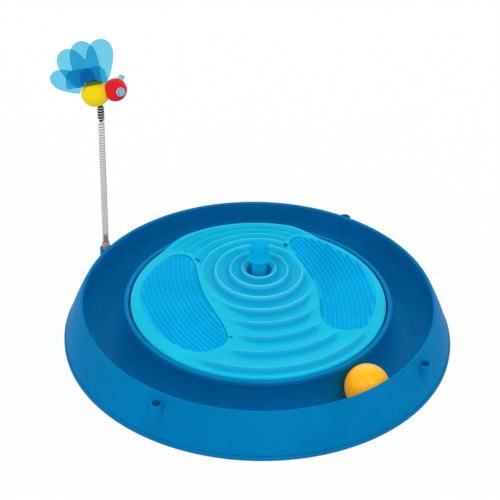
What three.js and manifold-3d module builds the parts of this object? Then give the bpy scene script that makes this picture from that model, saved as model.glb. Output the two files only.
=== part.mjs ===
// Cat scratcher toy: a ball trapped in a round track, a rippled massage disc over a
// catnip chamber in the middle, and a soft bee on a spring mast in one of four sockets.
// Millimetres, +Z up. The origin is the centre of the resting face, the front faces -Y.
import * as THREE from "three";
import { mergeVertices } from "three/addons/utils/BufferGeometryUtils.js";
import Module from "manifold-3d";

const wasm = await Module();
wasm.setup();

// Clearance between pieces that touch
const GAP = 0.3;

// Facets round the large rings and round small turned pieces
const RING_SEGMENTS = 36;
const SMALL_SEGMENTS = 12;

// Massage disc and its seat
const DISC_RADIUS = 119.7;
const DISC_EDGE_HEIGHT = 40.4;
const DISC_PLAY = 1.7;
const DISC_SKIRT_WIDTH = 3.7;
const DECK_THICKNESS = 5;
const LEDGE_HEIGHT = 30;
const LEDGE_WIDTH = 4.9;

// Hub tray
const LIP_WIDTH = 4.1;
const LIP_TOP = 40.3;
const LIP_HEIGHT = 5;
const LIP_ROUND = 0.9;
const FLANGE_SETBACK = 7.7;
const FLANGE_THICKNESS = 1.2;
const HUB_WALL = 2.2;
const CHAMBER_FLOOR = 24;
const CHAMBER_FLOOR_THICKNESS = 2;

// Track, ball and outer wall
const TRACK_MOUTH = 38.3;
const BALL_RADIUS = 20.3;
const BALL_SHELL = 1.4;
const BALL_AZIMUTH = -46.9;
const BALL_PLAY = 1.4;
const SOCKET_PLAY = 2.7;
const WALL_THICKNESS = 2.4;
const WALL_LEAN = 15;
const WALL_BULGE = 1.2;
const LINER_THICKNESS = 1.8;
const RIM_HEIGHT = 42.1;

// Base plate
const BASE_LEDGE = 1.3;
const BASE_EDGE_HEIGHT = 4.5;
const FLOOR_TOP = 3.5;
const HUB_FLOOR_TOP = 2.4;
const COVE_WIDTH = 16.4;
const COVE_HEIGHT = 18.5;
const SEAM_HEIGHT = 9.5;
const SEAM_WIDTH = 3;

// Foot pads
const FOOT_COUNT = 4;
const FOOT_RADIUS = 8;
const FOOT_THICKNESS = 1.6;
const FOOT_CIRCLE = 150;

// Hub screws
const SCREW_COUNT = 4;
const SCREW_CIRCLE = 80;
const SCREW_RADIUS = 1.6;
const SCREW_LENGTH = 12;
const SCREW_HEAD_RADIUS = 3.5;
const SCREW_HEAD_HEIGHT = 1.1;
const POST_RADIUS = 4.6;

// Mast sockets in the outer wall
const SOCKET_COUNT = 4;
const FIRST_SOCKET_AZIMUTH = -119.6;
const MAST_SOCKET = 3;
const SOCKET_BOSS_RADIUS = 5.8;
const SOCKET_HOLE_RADIUS = 4.1;
const SOCKET_TOP = 36;
const SOCKET_DEPTH = 14;
const SOCKET_FOOT_HEIGHT = 12;

// Ripples: circles that start round the crater and end at the edge of the disc
const CRATER_Y = 44;
const CRATER_RADIUS = 12.2;
const CRATER_CREST = 16;
const CRATER_FLOOR = 33;
const CRATER_WALL = 2;
const FIRST_CREST = 27.5;
const RIPPLE_PITCH = 14;
const STEEP_SHARE = 0.36;
const CREST_HEIGHT = 1.6;
const INNER_TROUGH_DEPTH = 3.6;
const OUTER_TROUGH_DEPTH = 1.6;
const RIPPLE_FADE = 9;
const BAND_RISE = 6.6;
const BAND_START_Y = -110;
const BAND_END_Y = 120;
const RAISED_EDGE_FROM = 67;
const RAISED_EDGE_TO = 137;
const RAISED_EDGE_FADE = 9;
const EDGE_FADE_WIDTH = 20;

// Centre nub: a bell on a stem that stands in the crater
const NUB_STEM_RADIUS = 7;
const NUB_BELL_RADIUS = 10.8;
const NUB_DOME_RADIUS = 7;
const NUB_BELL_HEIGHT = 19.9;
const NUB_TOP = 76.4;

// Bristle zones: an outer arc, closed by an inner edge through hand-picked points
const ZONE_ARC_Y = 8;
const ZONE_MARGIN = 9.5;
const ZONE_FLOOR = 35.7;
const ZONE_TRAY_WALL = 1.8;
const LEFT_ARC = [172, 233];
const LEFT_INNER_EDGE = [
  [-50, -83.5],
  [-36, -78],
  [-27, -66],
  [-30, -47],
  [-41, -22],
  [-51, 1],
  [-57, 24],
  [-61, 46],
  [-68, 60],
  [-82, 62],
  [-95, 51],
];
const RIGHT_ARC = [-27, 22];
const RIGHT_INNER_EDGE = [
  [92.5, 63],
  [70, 85.5],
  [49, 98],
  [34, 96],
  [29, 86],
  [33, 70],
  [44, 47],
  [53, 22],
  [57, 0],
  [58.5, -28],
  [65, -41],
  [82, -47],
];
const VENT_RADIUS = 2.6;
const FRONT_VENT_RADIUS = 1.8;
const LEFT_VENT_X = -59.5;
const LEFT_VENT_Y = 55;
const RIGHT_VENT_X = 25.8;
const RIGHT_VENT_Y = 82.8;
const FRONT_VENT_X = -24;
const FRONT_VENT_Y = -61;

// Bristle pads
const PAD_THICKNESS = 1.9;
const BRISTLE_PITCH = 6.45;
const BRISTLE_BASE = 1.5;
const BRISTLE_TIP = 0.8;
const BRISTLE_SHOW = 0.8;
const BRISTLE_MARGIN = 2.4;

// Spring mast
const FOOT_NECK_RADIUS = 3.05;
const FOOT_FLANGE_RADIUS = 3.9;
const FOOT_FLANGE_HEIGHT = 3.5;
const FOOT_NECK_SHOW = 2;
const WIRE_DIAMETER = 0.85;
const SPRING_DIAMETER = 6;
const SPRING_TURNS = 51;
const SPIGOT_LENGTH = 9;
const BEE_SEAT_HEIGHT = 193.5;
const PLUG_LENGTH = 16;
const PLUG_THREAD_TURNS = 5;
const PLUG_THREAD_RADIUS = 0.62;
const PLUG_SINK = 9;

// Bee, measured from the mast's axis and the bee's seat; it faces +X with its nose a little up
const BEE_PITCH = 12;
const BODY_X = -4.4;
const BODY_RISE = 14.4;
const BODY_LENGTH = 26;
const BODY_WIDTH = 25;
const BODY_HEIGHT = 25;
const HEAD_X = 14.3;
const HEAD_RISE = 18.5;
const HEAD_RADIUS = 10.7;
const GROOVE_WIDTH = 8.8;
const GROOVE_Y = -1.2;
const GROOVE_FLOOR = 8.5;
const EYE_FORWARD = { left: 27, right: 32 };
const EYE_RAISE = { left: 36, right: 15 };
const EYE_RING_RADIUS = 4.1;
const EYE_RING_HEIGHT = 1.4;
const EYE_SEAT_SINK = 1.1;
const EYE_PEG_RADIUS = 2.7;
const EYE_PEG_SHOW = 4.6;
const EYE_PEG_SINK = 3;

// Wing films: each is one sheet with a front and a rear lobe, on a tab that stands in the groove.
// A lobe's root is its place along the bee, and its angle leans it towards the tail.
// Behind the body a film reaches down to its low edge, measured from the pivot.
const FILM_THICKNESS = 0.5;
const FILM_TAB_WIDTH = 18;
const FILM_TAB_RISE = 7;
const FILM_BODY_PLAY = 1.2;
const WING_PIVOT_Z = 9.6;
const LOBE_ROOT_SHARE = 0.75;
const FRONT_LOBE_LENGTH = 42;
const FRONT_LOBE_WIDTH = 25.5;
const REAR_LOBE_ROOT = -3;
const RIGHT_WING_Y = -2.2;
const RIGHT_WING_LEAN = 18;
const RIGHT_WING_LOW = -7;
const RIGHT_FRONT_ROOT = -2;
const RIGHT_FRONT_ANGLE = 2.5;
const RIGHT_REAR_ANGLE = 68;
const RIGHT_REAR_LENGTH = 37;
const RIGHT_REAR_WIDTH = 20;
const LEFT_WING_Y = -0.6;
const LEFT_WING_LEAN = 36;
const LEFT_WING_LOW = -1;
const LEFT_FRONT_ROOT = 3;
const LEFT_FRONT_ANGLE = -16;
const LEFT_REAR_ANGLE = 33;
const LEFT_REAR_LENGTH = 41.6;
const LEFT_REAR_WIDTH = 24.4;

// Places that follow from the sizes above
const RECESS_RADIUS = DISC_RADIUS + DISC_PLAY;
const LIP_RADIUS = RECESS_RADIUS + LIP_WIDTH;
const RIM_INNER_RADIUS = LIP_RADIUS + TRACK_MOUTH;
const RIM_RADIUS = RIM_INNER_RADIUS + WALL_THICKNESS;
const WALL_FOOT_RADIUS = RIM_RADIUS + WALL_LEAN;
const BASE_RADIUS = WALL_FOOT_RADIUS + BASE_LEDGE;
const BALL_ORBIT_RADIUS = (LIP_RADIUS + RIM_INNER_RADIUS) / 2;
const BALL_HEIGHT = FLOOR_TOP + GAP + BALL_RADIUS;
const TRACK_SIDE = BALL_ORBIT_RADIUS + BALL_RADIUS + BALL_PLAY;
const COVE_TOP = FLOOR_TOP + COVE_HEIGHT;
const HUB_WALL_RADIUS = BALL_ORBIT_RADIUS - BALL_RADIUS - BALL_PLAY;
const FLANGE_RADIUS = BALL_ORBIT_RADIUS - FLANGE_SETBACK;
const SOCKET_CIRCLE = BALL_ORBIT_RADIUS + BALL_RADIUS + SOCKET_PLAY + SOCKET_BOSS_RADIUS;
const SOCKET_FLOOR = SOCKET_TOP - SOCKET_DEPTH;
const BODY_Z = BEE_SEAT_HEIGHT + BODY_RISE;
const HEAD_Z = BEE_SEAT_HEIGHT + HEAD_RISE;
const COIL_RADIUS = (SPRING_DIAMETER - WIRE_DIAMETER) / 2;
const CORE_RADIUS = COIL_RADIUS - WIRE_DIAMETER / 2 - GAP;

const rad = THREE.MathUtils.degToRad;
const smooth = THREE.MathUtils.smoothstep;

// Solids

function solid(geometry) {
  const bare = geometry.clone();
  bare.deleteAttribute("normal");
  bare.deleteAttribute("uv");
  const merged = mergeVertices(bare, 1e-4);
  const corners = merged.index.array;
  const kept = [];
  for (let i = 0; i < corners.length; i += 3) {
    const [a, b, c] = [corners[i], corners[i + 1], corners[i + 2]];
    if (a !== b && b !== c && c !== a) kept.push(a, b, c);
  }
  const build = (triangles) =>
    new wasm.Manifold(
      new wasm.Mesh({
        numProp: 3,
        vertProperties: merged.attributes.position.array,
        triVerts: new Uint32Array(triangles),
      }),
    );
  const made = build(kept);
  return made.volume() > 0 ? made : build(kept.toReversed());
}

function geometryOf(body) {
  const mesh = body.getMesh();
  const geometry = new THREE.BufferGeometry();
  geometry.setAttribute("position", new THREE.BufferAttribute(mesh.vertProperties, 3));
  geometry.setIndex(new THREE.BufferAttribute(mesh.triVerts, 1));
  geometry.computeVertexNormals();
  return geometry;
}

// Turns a profile of [radius, height] points round the Z axis.
function turned(profile, segments = SMALL_SEGMENTS) {
  const points = profile.map(([r, z]) => new THREE.Vector2(r, z));
  return solid(new THREE.LatheGeometry(points, segments).rotateX(Math.PI / 2));
}

function cylinder(radius, from, to, x = 0, y = 0, segments = SMALL_SEGMENTS) {
  const geometry = new THREE.CylinderGeometry(radius, radius, to - from, segments);
  return solid(geometry.rotateX(Math.PI / 2).translate(x, y, (from + to) / 2));
}

function prism(outline, from, to) {
  const shape = new THREE.Shape(outline.map(([x, y]) => new THREE.Vector2(x, y)));
  const options = { depth: to - from, bevelEnabled: false };
  return solid(new THREE.ExtrudeGeometry(shape, options).translate(0, 0, from));
}

// Joins closed rings of equal length into one skin, with the two ends capped.
function skin(rings) {
  const sides = rings[0].length;
  const positions = rings.flat(2);
  const faces = [];
  for (let i = 0; i + 1 < rings.length; i++) {
    for (let j = 0; j < sides; j++) {
      const a = i * sides + j;
      const b = i * sides + ((j + 1) % sides);
      faces.push(a, b, b + sides, a, b + sides, a + sides);
    }
  }
  const last = (rings.length - 1) * sides;
  for (let j = 1; j + 1 < sides; j++) {
    faces.push(0, j + 1, j, last, last + j, last + j + 1);
  }
  const geometry = new THREE.BufferGeometry();
  geometry.setAttribute("position", new THREE.Float32BufferAttribute(positions, 3));
  geometry.setIndex(faces);
  return geometry;
}

// A round tube through points; each ring stands across the path.
function tube(path, radius, sides) {
  const outward = new THREE.Vector3();
  const rings = path.map((point, i) => {
    const before = path[Math.max(i - 1, 0)];
    const after = path[Math.min(i + 1, path.length - 1)];
    const along = after.clone().sub(before).normalize();
    outward.set(point.x, point.y, 0).addScaledVector(along, -along.dot(point) + along.z * point.z);
    outward.normalize();
    const across = along.clone().cross(outward);
    return Array.from({ length: sides }, (_, j) => {
      const turn = (2 * Math.PI * j) / sides;
      const corner = point.clone().addScaledVector(outward, radius * Math.cos(turn));
      return corner.addScaledVector(across, radius * Math.sin(turn)).toArray();
    });
  });
  return skin(rings);
}

function polar(radius, azimuth) {
  return [radius * Math.cos(rad(azimuth)), radius * Math.sin(rad(azimuth))];
}

function evenAzimuths(count, first) {
  return Array.from({ length: count }, (_, i) => first + (360 * i) / count);
}

// Outer wall

// The radius of the wall's outer face at a height: it leans inwards with a slight bulge.
function wallOutside(height) {
  const foot = BASE_EDGE_HEIGHT + GAP;
  const share = (height - foot) / (RIM_HEIGHT - foot);
  return WALL_FOOT_RADIUS - WALL_LEAN * share + 4 * WALL_BULGE * share * (1 - share);
}

function wallInside(height) {
  return wallOutside(height) - WALL_THICKNESS;
}

// The radius of the track's side at a height: a cove up from the floor, then a slow lean to the rim.
function trackSide(height) {
  if (height < COVE_TOP) {
    const share = (COVE_TOP - height) / COVE_HEIGHT;
    return TRACK_SIDE - COVE_WIDTH * (1 - Math.sqrt(1 - share * share));
  }
  const share = (height - COVE_TOP) / (RIM_HEIGHT - WALL_THICKNESS / 2 - COVE_TOP);
  return TRACK_SIDE + (RIM_INNER_RADIUS - TRACK_SIDE) * share * share;
}

function socketPlaces() {
  return evenAzimuths(SOCKET_COUNT, FIRST_SOCKET_AZIMUTH).map((azimuth) => polar(SOCKET_CIRCLE, azimuth));
}

// An outer skirt and an inner liner that meet at the rim, with the sockets in the hollow between them.
function trackWall() {
  const foot = BASE_EDGE_HEIGHT + GAP;
  const shoulder = RIM_HEIGHT - WALL_THICKNESS / 2;
  const hollowTop = SOCKET_TOP - LINER_THICKNESS;
  const linerFoot = SEAM_HEIGHT + GAP;
  const between = (from, to, shares) => shares.map((share) => from + share * (to - from));
  const outside = between(foot, shoulder, [0, 0.25, 0.5, 0.75, 1]).map((z) => [wallOutside(z), z]);
  const side = [shoulder, (shoulder + COVE_TOP) / 2, ...between(COVE_TOP, linerFoot, [0, 0.4, 0.75, 1])];
  const inside = side.map((z) => [trackSide(z), z]);
  const back = [linerFoot, COVE_TOP, hollowTop].map((z) => [trackSide(z) + LINER_THICKNESS, z]);
  const hollow = between(hollowTop, foot, [0, 0.5, 1]).map((z) => [wallInside(z), z]);
  const crown = [RIM_RADIUS - WALL_THICKNESS / 2, RIM_HEIGHT];
  let wall = turned([...outside, crown, ...inside, ...back, ...hollow, outside[0]], RING_SEGMENTS);
  const middle = [linerFoot, COVE_TOP, hollowTop].map((z) => [trackSide(z) + LINER_THICKNESS / 2, z]);
  const track = turned([[0, 0], [middle[0][0], 0], ...middle, [0, hollowTop]], RING_SEGMENTS);
  for (const [x, y] of socketPlaces()) {
    wall = wall.add(cylinder(SOCKET_BOSS_RADIUS, SOCKET_FOOT_HEIGHT, SOCKET_TOP, x, y).subtract(track));
  }
  for (const [x, y] of socketPlaces()) {
    wall = wall.subtract(cylinder(SOCKET_HOLE_RADIUS, SOCKET_FLOOR, 2 * RIM_HEIGHT, x, y));
  }
  return wall;
}

// Base plate, foot pads and screws

function footPlaces() {
  return evenAzimuths(FOOT_COUNT, 180 / FOOT_COUNT).map((azimuth) => polar(FOOT_CIRCLE, azimuth));
}

function screwPlaces() {
  return evenAzimuths(SCREW_COUNT, 180 / SCREW_COUNT).map((azimuth) => polar(SCREW_CIRCLE, azimuth));
}

function basePlate() {
  const seam = trackSide(SEAM_HEIGHT);
  const cove = [SEAM_HEIGHT, 0.4 * SEAM_HEIGHT + 0.6 * FLOOR_TOP, FLOOR_TOP].map((z) => [trackSide(z), z]);
  let plate = turned(
    [
      [0, 0],
      [BASE_RADIUS, 0],
      [BASE_RADIUS, BASE_EDGE_HEIGHT],
      [seam + SEAM_WIDTH, BASE_EDGE_HEIGHT],
      [seam + SEAM_WIDTH, SEAM_HEIGHT],
      ...cove,
      [HUB_WALL_RADIUS - HUB_WALL, FLOOR_TOP],
      [HUB_WALL_RADIUS - 2 * HUB_WALL, HUB_FLOOR_TOP],
      [0, HUB_FLOOR_TOP],
    ],
    RING_SEGMENTS,
  );
  for (const [x, y] of footPlaces()) {
    plate = plate.subtract(cylinder(FOOT_RADIUS + GAP, -1, FOOT_THICKNESS + GAP, x, y));
  }
  for (const [x, y] of screwPlaces()) {
    plate = plate.subtract(cylinder(SCREW_HEAD_RADIUS + GAP, -1, SCREW_HEAD_HEIGHT + 2 * GAP, x, y));
    plate = plate.subtract(cylinder(SCREW_RADIUS + GAP, -1, 2 * HUB_FLOOR_TOP, x, y));
  }
  return plate;
}

function footPad() {
  const edge = FOOT_THICKNESS / 4;
  return turned([
    [0, 0],
    [FOOT_RADIUS - edge, 0],
    [FOOT_RADIUS, edge],
    [FOOT_RADIUS, FOOT_THICKNESS],
    [0, FOOT_THICKNESS],
  ]);
}

function hubScrew() {
  return turned([
    [0, GAP],
    [SCREW_HEAD_RADIUS, GAP],
    [SCREW_HEAD_RADIUS, GAP + SCREW_HEAD_HEIGHT],
    [SCREW_RADIUS, GAP + SCREW_HEAD_HEIGHT],
    [SCREW_RADIUS, SCREW_LENGTH - SCREW_RADIUS],
    [0, SCREW_LENGTH],
  ]);
}

// Hub tray

function centreHub() {
  const flangeFoot = FLOOR_TOP + GAP;
  const flangeTop = flangeFoot + FLANGE_THICKNESS;
  const lipFoot = LIP_TOP - LIP_HEIGHT;
  const shellTop = CHAMBER_FLOOR - CHAMBER_FLOOR_THICKNESS;
  const shellInside = HUB_WALL_RADIUS - HUB_WALL;
  const chamberRadius = RECESS_RADIUS - LEDGE_WIDTH;
  let hub = turned(
    [
      [0, shellTop],
      [shellInside, shellTop],
      [shellInside, flangeFoot],
      [FLANGE_RADIUS, flangeFoot],
      [FLANGE_RADIUS, flangeTop],
      [HUB_WALL_RADIUS + HUB_WALL, flangeTop],
      [HUB_WALL_RADIUS, flangeTop + HUB_WALL],
      [HUB_WALL_RADIUS, LEDGE_HEIGHT - HUB_WALL],
      [RECESS_RADIUS + HUB_WALL, lipFoot],
      [LIP_RADIUS, lipFoot + LIP_ROUND],
      [LIP_RADIUS, LIP_TOP - LIP_ROUND],
      [LIP_RADIUS - LIP_ROUND, LIP_TOP],
      [RECESS_RADIUS, LIP_TOP],
      [RECESS_RADIUS, LEDGE_HEIGHT],
      [chamberRadius, LEDGE_HEIGHT],
      [chamberRadius, CHAMBER_FLOOR],
      [0, CHAMBER_FLOOR],
    ],
    RING_SEGMENTS,
  );
  for (const [x, y] of screwPlaces()) {
    hub = hub.add(cylinder(POST_RADIUS, HUB_FLOOR_TOP + GAP, CHAMBER_FLOOR, x, y));
    hub = hub.subtract(cylinder(SCREW_RADIUS + GAP, 0, SCREW_LENGTH + GAP, x, y));
  }
  return hub;
}

// Massage disc

// A closed outline of a bristle zone, grown outwards by a distance.
function zoneOutline(arc, innerEdge, grow = 0) {
  const arcRadius = DISC_RADIUS - ZONE_MARGIN;
  const steps = 9;
  const onArc = Array.from({ length: steps + 1 }, (_, i) => {
    const [x, y] = polar(arcRadius, arc[0] + ((arc[1] - arc[0]) * i) / steps);
    return new THREE.Vector2(x, y + ZONE_ARC_Y);
  });
  const edge = innerEdge.map(([x, y]) => new THREE.Vector2(x, y));
  const inner = new THREE.SplineCurve([onArc.at(-1), ...edge, onArc[0]]);
  const outline = [...onArc, ...inner.getPoints(16).slice(1, -1)];
  const grown = outline.map((point, i) => {
    const before = outline.at(i - 1);
    const after = outline[(i + 1) % outline.length];
    const run = after.clone().sub(before).normalize();
    return [point.x + grow * run.y, point.y - grow * run.x];
  });
  return grown;
}

const ZONES = {
  left: (grow) => zoneOutline(LEFT_ARC, LEFT_INNER_EDGE, grow),
  right: (grow) => zoneOutline(RIGHT_ARC, RIGHT_INNER_EDGE, grow),
};

function isInside(outline, x, y) {
  let inside = false;
  outline.forEach(([ax, ay], i) => {
    const [bx, by] = outline.at(i - 1);
    const crosses = ay > y !== by > y;
    if (crosses && x < ax + ((bx - ax) * (y - ay)) / (by - ay)) inside = !inside;
  });
  return inside;
}

function distanceTo(outline, x, y) {
  return Math.min(...outline.map(([px, py]) => Math.hypot(px - x, py - y)));
}

// The height of the band that climbs from the front of the disc to the back.
function bandHeight(y) {
  return DISC_EDGE_HEIGHT + BAND_RISE * smooth(y, BAND_START_Y, BAND_END_Y);
}

// The disc's smooth surface: the band, brought down to a level edge except at the raised back edge.
function deckHeight(x, y) {
  const radius = Math.hypot(x, y);
  const azimuth = THREE.MathUtils.radToDeg(Math.atan2(y, x));
  const raised =
    smooth(azimuth, RAISED_EDGE_FROM - RAISED_EDGE_FADE, RAISED_EDGE_FROM + RAISED_EDGE_FADE) *
    (1 - smooth(azimuth, RAISED_EDGE_TO - RAISED_EDGE_FADE, RAISED_EDGE_TO + RAISED_EDGE_FADE));
  const edge = smooth(radius, DISC_RADIUS - EDGE_FADE_WIDTH, DISC_RADIUS);
  return THREE.MathUtils.lerp(bandHeight(y), DISC_EDGE_HEIGHT, edge * (1 - raised));
}

// How strong the ripples are at a place: they die out towards the bristle zones.
function rippleStrength(x, y, zones) {
  const near = Math.min(...zones.map((zone) => distanceTo(zone, x, y)));
  const buried = zones.some((zone) => isInside(zone, x, y));
  return buried ? 0 : smooth(near, 0, RIPPLE_FADE);
}

// The troughs grow shallower from the crater to the edge.
function troughDepth(radius) {
  const share = smooth(radius, CRATER_CREST, DISC_RADIUS);
  return THREE.MathUtils.lerp(INNER_TROUGH_DEPTH, OUTER_TROUGH_DEPTH, share);
}

// One ripple circle: its centre moves from the crater to the middle of the disc as it widens.
function rippleRing(radius, heightAt) {
  const centreY = CRATER_Y * (1 - (radius / DISC_RADIUS) ** 2);
  return Array.from({ length: RING_SEGMENTS }, (_, i) => {
    const [x, dy] = polar(radius, (360 * i) / RING_SEGMENTS);
    const y = centreY + dy;
    return [x, y, heightAt(x, y)];
  });
}

function massageDisc() {
  const zones = [ZONES.left(0), ZONES.right(0)];
  const lifted = (lift) => (x, y) => deckHeight(x, y) + lift * rippleStrength(x, y, zones);
  const troughAt = (radius) => rippleRing(radius, lifted(-troughDepth(radius)));
  const rings = [rippleRing(CRATER_RADIUS / 2, deckHeight)];
  rings.push(rippleRing(CRATER_CREST, lifted(CREST_HEIGHT)));
  rings.push(troughAt((CRATER_CREST + FIRST_CREST) / 2));
  for (let crest = FIRST_CREST; crest < DISC_RADIUS - RIPPLE_PITCH / 2; crest += RIPPLE_PITCH) {
    rings.push(rippleRing(crest, lifted(CREST_HEIGHT)));
    const trough = crest + STEEP_SHARE * RIPPLE_PITCH;
    if (trough < DISC_RADIUS - DISC_SKIRT_WIDTH) rings.push(troughAt(trough));
  }
  const skirtFoot = LEDGE_HEIGHT + GAP;
  const skirtInside = DISC_RADIUS - DISC_SKIRT_WIDTH;
  const under = (x, y) => deckHeight(x, y) - DECK_THICKNESS;
  rings.push(rippleRing(DISC_RADIUS, deckHeight));
  rings.push(rippleRing(DISC_RADIUS, () => skirtFoot));
  rings.push(rippleRing(skirtInside, () => skirtFoot));
  for (const share of [1, 0.5, 0.1]) {
    rings.push(rippleRing(skirtInside * share, under));
  }
  let disc = solid(skin(rings));
  for (const zone of Object.values(ZONES)) {
    const trayTop = DISC_EDGE_HEIGHT - DECK_THICKNESS / 2;
    const tray = prism(zone(ZONE_TRAY_WALL), ZONE_FLOOR - ZONE_TRAY_WALL, trayTop);
    disc = disc.add(tray).subtract(prism(zone(0), ZONE_FLOOR, 2 * RIM_HEIGHT));
  }
  const cup = CRATER_FLOOR - CRATER_WALL;
  const sides = 2 * SMALL_SEGMENTS;
  disc = disc.add(cylinder(CRATER_RADIUS + CRATER_WALL, cup, DISC_EDGE_HEIGHT, 0, CRATER_Y, sides));
  disc = disc.subtract(cylinder(CRATER_RADIUS, CRATER_FLOOR, 2 * RIM_HEIGHT, 0, CRATER_Y, sides));
  const vents = [
    [LEFT_VENT_X, LEFT_VENT_Y, VENT_RADIUS],
    [RIGHT_VENT_X, RIGHT_VENT_Y, VENT_RADIUS],
    [FRONT_VENT_X, FRONT_VENT_Y, FRONT_VENT_RADIUS],
  ];
  for (const [x, y, radius] of vents) {
    disc = disc.subtract(cylinder(radius, LEDGE_HEIGHT, 2 * RIM_HEIGHT, x, y));
  }
  return disc;
}

// One bristle: three sides that narrow to a blunt tip.
function strand(x, y, foot) {
  const ring = (radius, z) =>
    evenAzimuths(3, 90).map((azimuth) => {
      const [dx, dy] = polar(radius, azimuth);
      return [x + dx, y + dy, z];
    });
  return solid(skin([ring(BRISTLE_BASE, foot), ring(BRISTLE_TIP, bandHeight(y) + BRISTLE_SHOW)]));
}

function bristlePad(zone) {
  const foot = ZONE_FLOOR + GAP;
  const room = zone(-BRISTLE_MARGIN);
  const rows = Math.ceil(DISC_RADIUS / BRISTLE_PITCH);
  let pad = prism(zone(-GAP), foot, foot + PAD_THICKNESS);
  const strands = [];
  for (let row = -rows; row <= rows; row++) {
    for (let column = -rows; column <= rows; column++) {
      const x = (column + (row % 2) / 2) * BRISTLE_PITCH;
      const y = row * BRISTLE_PITCH;
      if (isInside(room, x, y)) strands.push([x, y]);
    }
  }
  for (const [x, y] of strands) {
    pad = pad.add(strand(x, y, foot + PAD_THICKNESS / 2));
  }
  return { pad, count: strands.length };
}

function centreNub() {
  const foot = CRATER_FLOOR + GAP;
  const bellFoot = NUB_TOP - NUB_BELL_HEIGHT;
  const shoulder = NUB_TOP - NUB_DOME_RADIUS;
  const flare = [0, 0.25, 0.6].map((share) => {
    const spread = (NUB_BELL_RADIUS - NUB_DOME_RADIUS) * (1 - share) ** 2;
    return [NUB_DOME_RADIUS + spread, THREE.MathUtils.lerp(bellFoot, shoulder, share)];
  });
  const dome = [0, 0.35, 0.7, 1].map((share) => {
    const turn = (share * Math.PI) / 2;
    return [NUB_DOME_RADIUS * Math.cos(turn), shoulder + NUB_DOME_RADIUS * Math.sin(turn)];
  });
  dome.at(-1)[0] = 0;
  return turned([[0, foot], [NUB_STEM_RADIUS, foot], [NUB_STEM_RADIUS, bellFoot], ...flare, ...dome], 16);
}

// Ball

function ballHalf(side) {
  const inside = BALL_RADIUS - BALL_SHELL;
  const steps = 5;
  const arc = (radius) =>
    Array.from({ length: steps + 1 }, (_, i) => {
      const turn = (i / steps) * (Math.PI / 2);
      const r = i === steps ? 0 : radius * Math.cos(turn);
      return [r, side * (GAP / 2 + (radius - GAP / 2) * Math.sin(turn))];
    });
  return turned([...arc(BALL_RADIUS).reverse(), ...arc(inside)], 18);
}

// Spring mast, in a frame on the axis of its socket

function springFoot() {
  const foot = SOCKET_FLOOR + GAP;
  const barrel = SOCKET_HOLE_RADIUS - GAP;
  const flangeFoot = SOCKET_TOP + FOOT_NECK_SHOW;
  const flangeTop = flangeFoot + FOOT_FLANGE_HEIGHT;
  return turned([
    [0, foot],
    [barrel - 1, foot],
    [barrel, foot + 1],
    [barrel, SOCKET_TOP - 1],
    [FOOT_NECK_RADIUS, SOCKET_TOP],
    [FOOT_NECK_RADIUS, flangeFoot],
    [FOOT_FLANGE_RADIUS, flangeFoot],
    [FOOT_FLANGE_RADIUS, flangeTop],
    [CORE_RADIUS, flangeTop],
    [CORE_RADIUS, flangeTop + SPIGOT_LENGTH],
    [0, flangeTop + SPIGOT_LENGTH],
  ]);
}

function springSpan() {
  const from = SOCKET_TOP + FOOT_NECK_SHOW + FOOT_FLANGE_HEIGHT + GAP;
  return { from, to: BEE_SEAT_HEIGHT - GAP };
}

function springPitch() {
  const { from, to } = springSpan();
  return (to - from - 2 * WIRE_DIAMETER) / SPRING_TURNS;
}

// A helix on the Z axis, with 8 steps a turn.
function helix(radius, start, turns, pitch, startTurn = 0) {
  const steps = 8;
  return Array.from({ length: Math.round(turns * steps) + 1 }, (_, i) => {
    const turn = startTurn + i / steps;
    const [x, y] = polar(radius, 360 * turn);
    return new THREE.Vector3(x, y, start + (pitch * i) / steps);
  });
}

// The least distance between the skins of a wound wire's neighbouring turns, measured on its points.
function leastGap(path, diameter) {
  const skip = 5;
  let least = Infinity;
  path.forEach((a, i) => {
    for (let j = i + skip; j < path.length; j++) least = Math.min(least, a.distanceTo(path[j]));
  });
  return least - diameter;
}

function spring() {
  const { from, to } = springSpan();
  const coil = helix(COIL_RADIUS, from + WIRE_DIAMETER, SPRING_TURNS, springPitch());
  const first = coil[0].clone().setZ(from);
  const last = coil.at(-1).clone().setZ(to);
  const path = [first, ...coil, last];
  console.log("spring least gap to itself", leastGap(path, WIRE_DIAMETER).toFixed(2), "mm");
  return solid(tube(path, WIRE_DIAMETER / 2, 5));
}

// The threaded plug that holds the top turns of the spring to the bee.
function springPlug() {
  const { from } = springSpan();
  const pitch = springPitch();
  const foot = BEE_SEAT_HEIGHT - PLUG_LENGTH;
  const top = BEE_SEAT_HEIGHT + PLUG_SINK - GAP;
  const core = turned([
    [0, foot],
    [CORE_RADIUS, foot],
    [CORE_RADIUS, top],
    [0, top],
  ]);
  const startTurn = Math.ceil((foot - from) / pitch) + 0.5;
  const start = from + WIRE_DIAMETER + startTurn * pitch;
  const threadRadius = SPRING_DIAMETER / 2 - PLUG_THREAD_RADIUS;
  const turns = Math.min(PLUG_THREAD_TURNS, Math.floor((BEE_SEAT_HEIGHT - start) / pitch) - 0.5);
  const thread = tube(helix(threadRadius, start, turns, pitch), PLUG_THREAD_RADIUS, 4);
  return core.add(solid(thread));
}

// Bee, in the mast's frame

const BODY_PLACE = new THREE.Matrix4()
  .makeTranslation(BODY_X, 0, BODY_Z)
  .multiply(new THREE.Matrix4().makeRotationY(-rad(BEE_PITCH)));

function bodyShape(grow, place = BODY_PLACE) {
  const geometry = new THREE.SphereGeometry(1, 18, 12);
  geometry.rotateZ(Math.PI / 2);
  geometry.scale(BODY_LENGTH / 2 + grow, BODY_WIDTH / 2 + grow, BODY_HEIGHT / 2 + grow);
  return solid(geometry.applyMatrix4(place));
}

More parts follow.
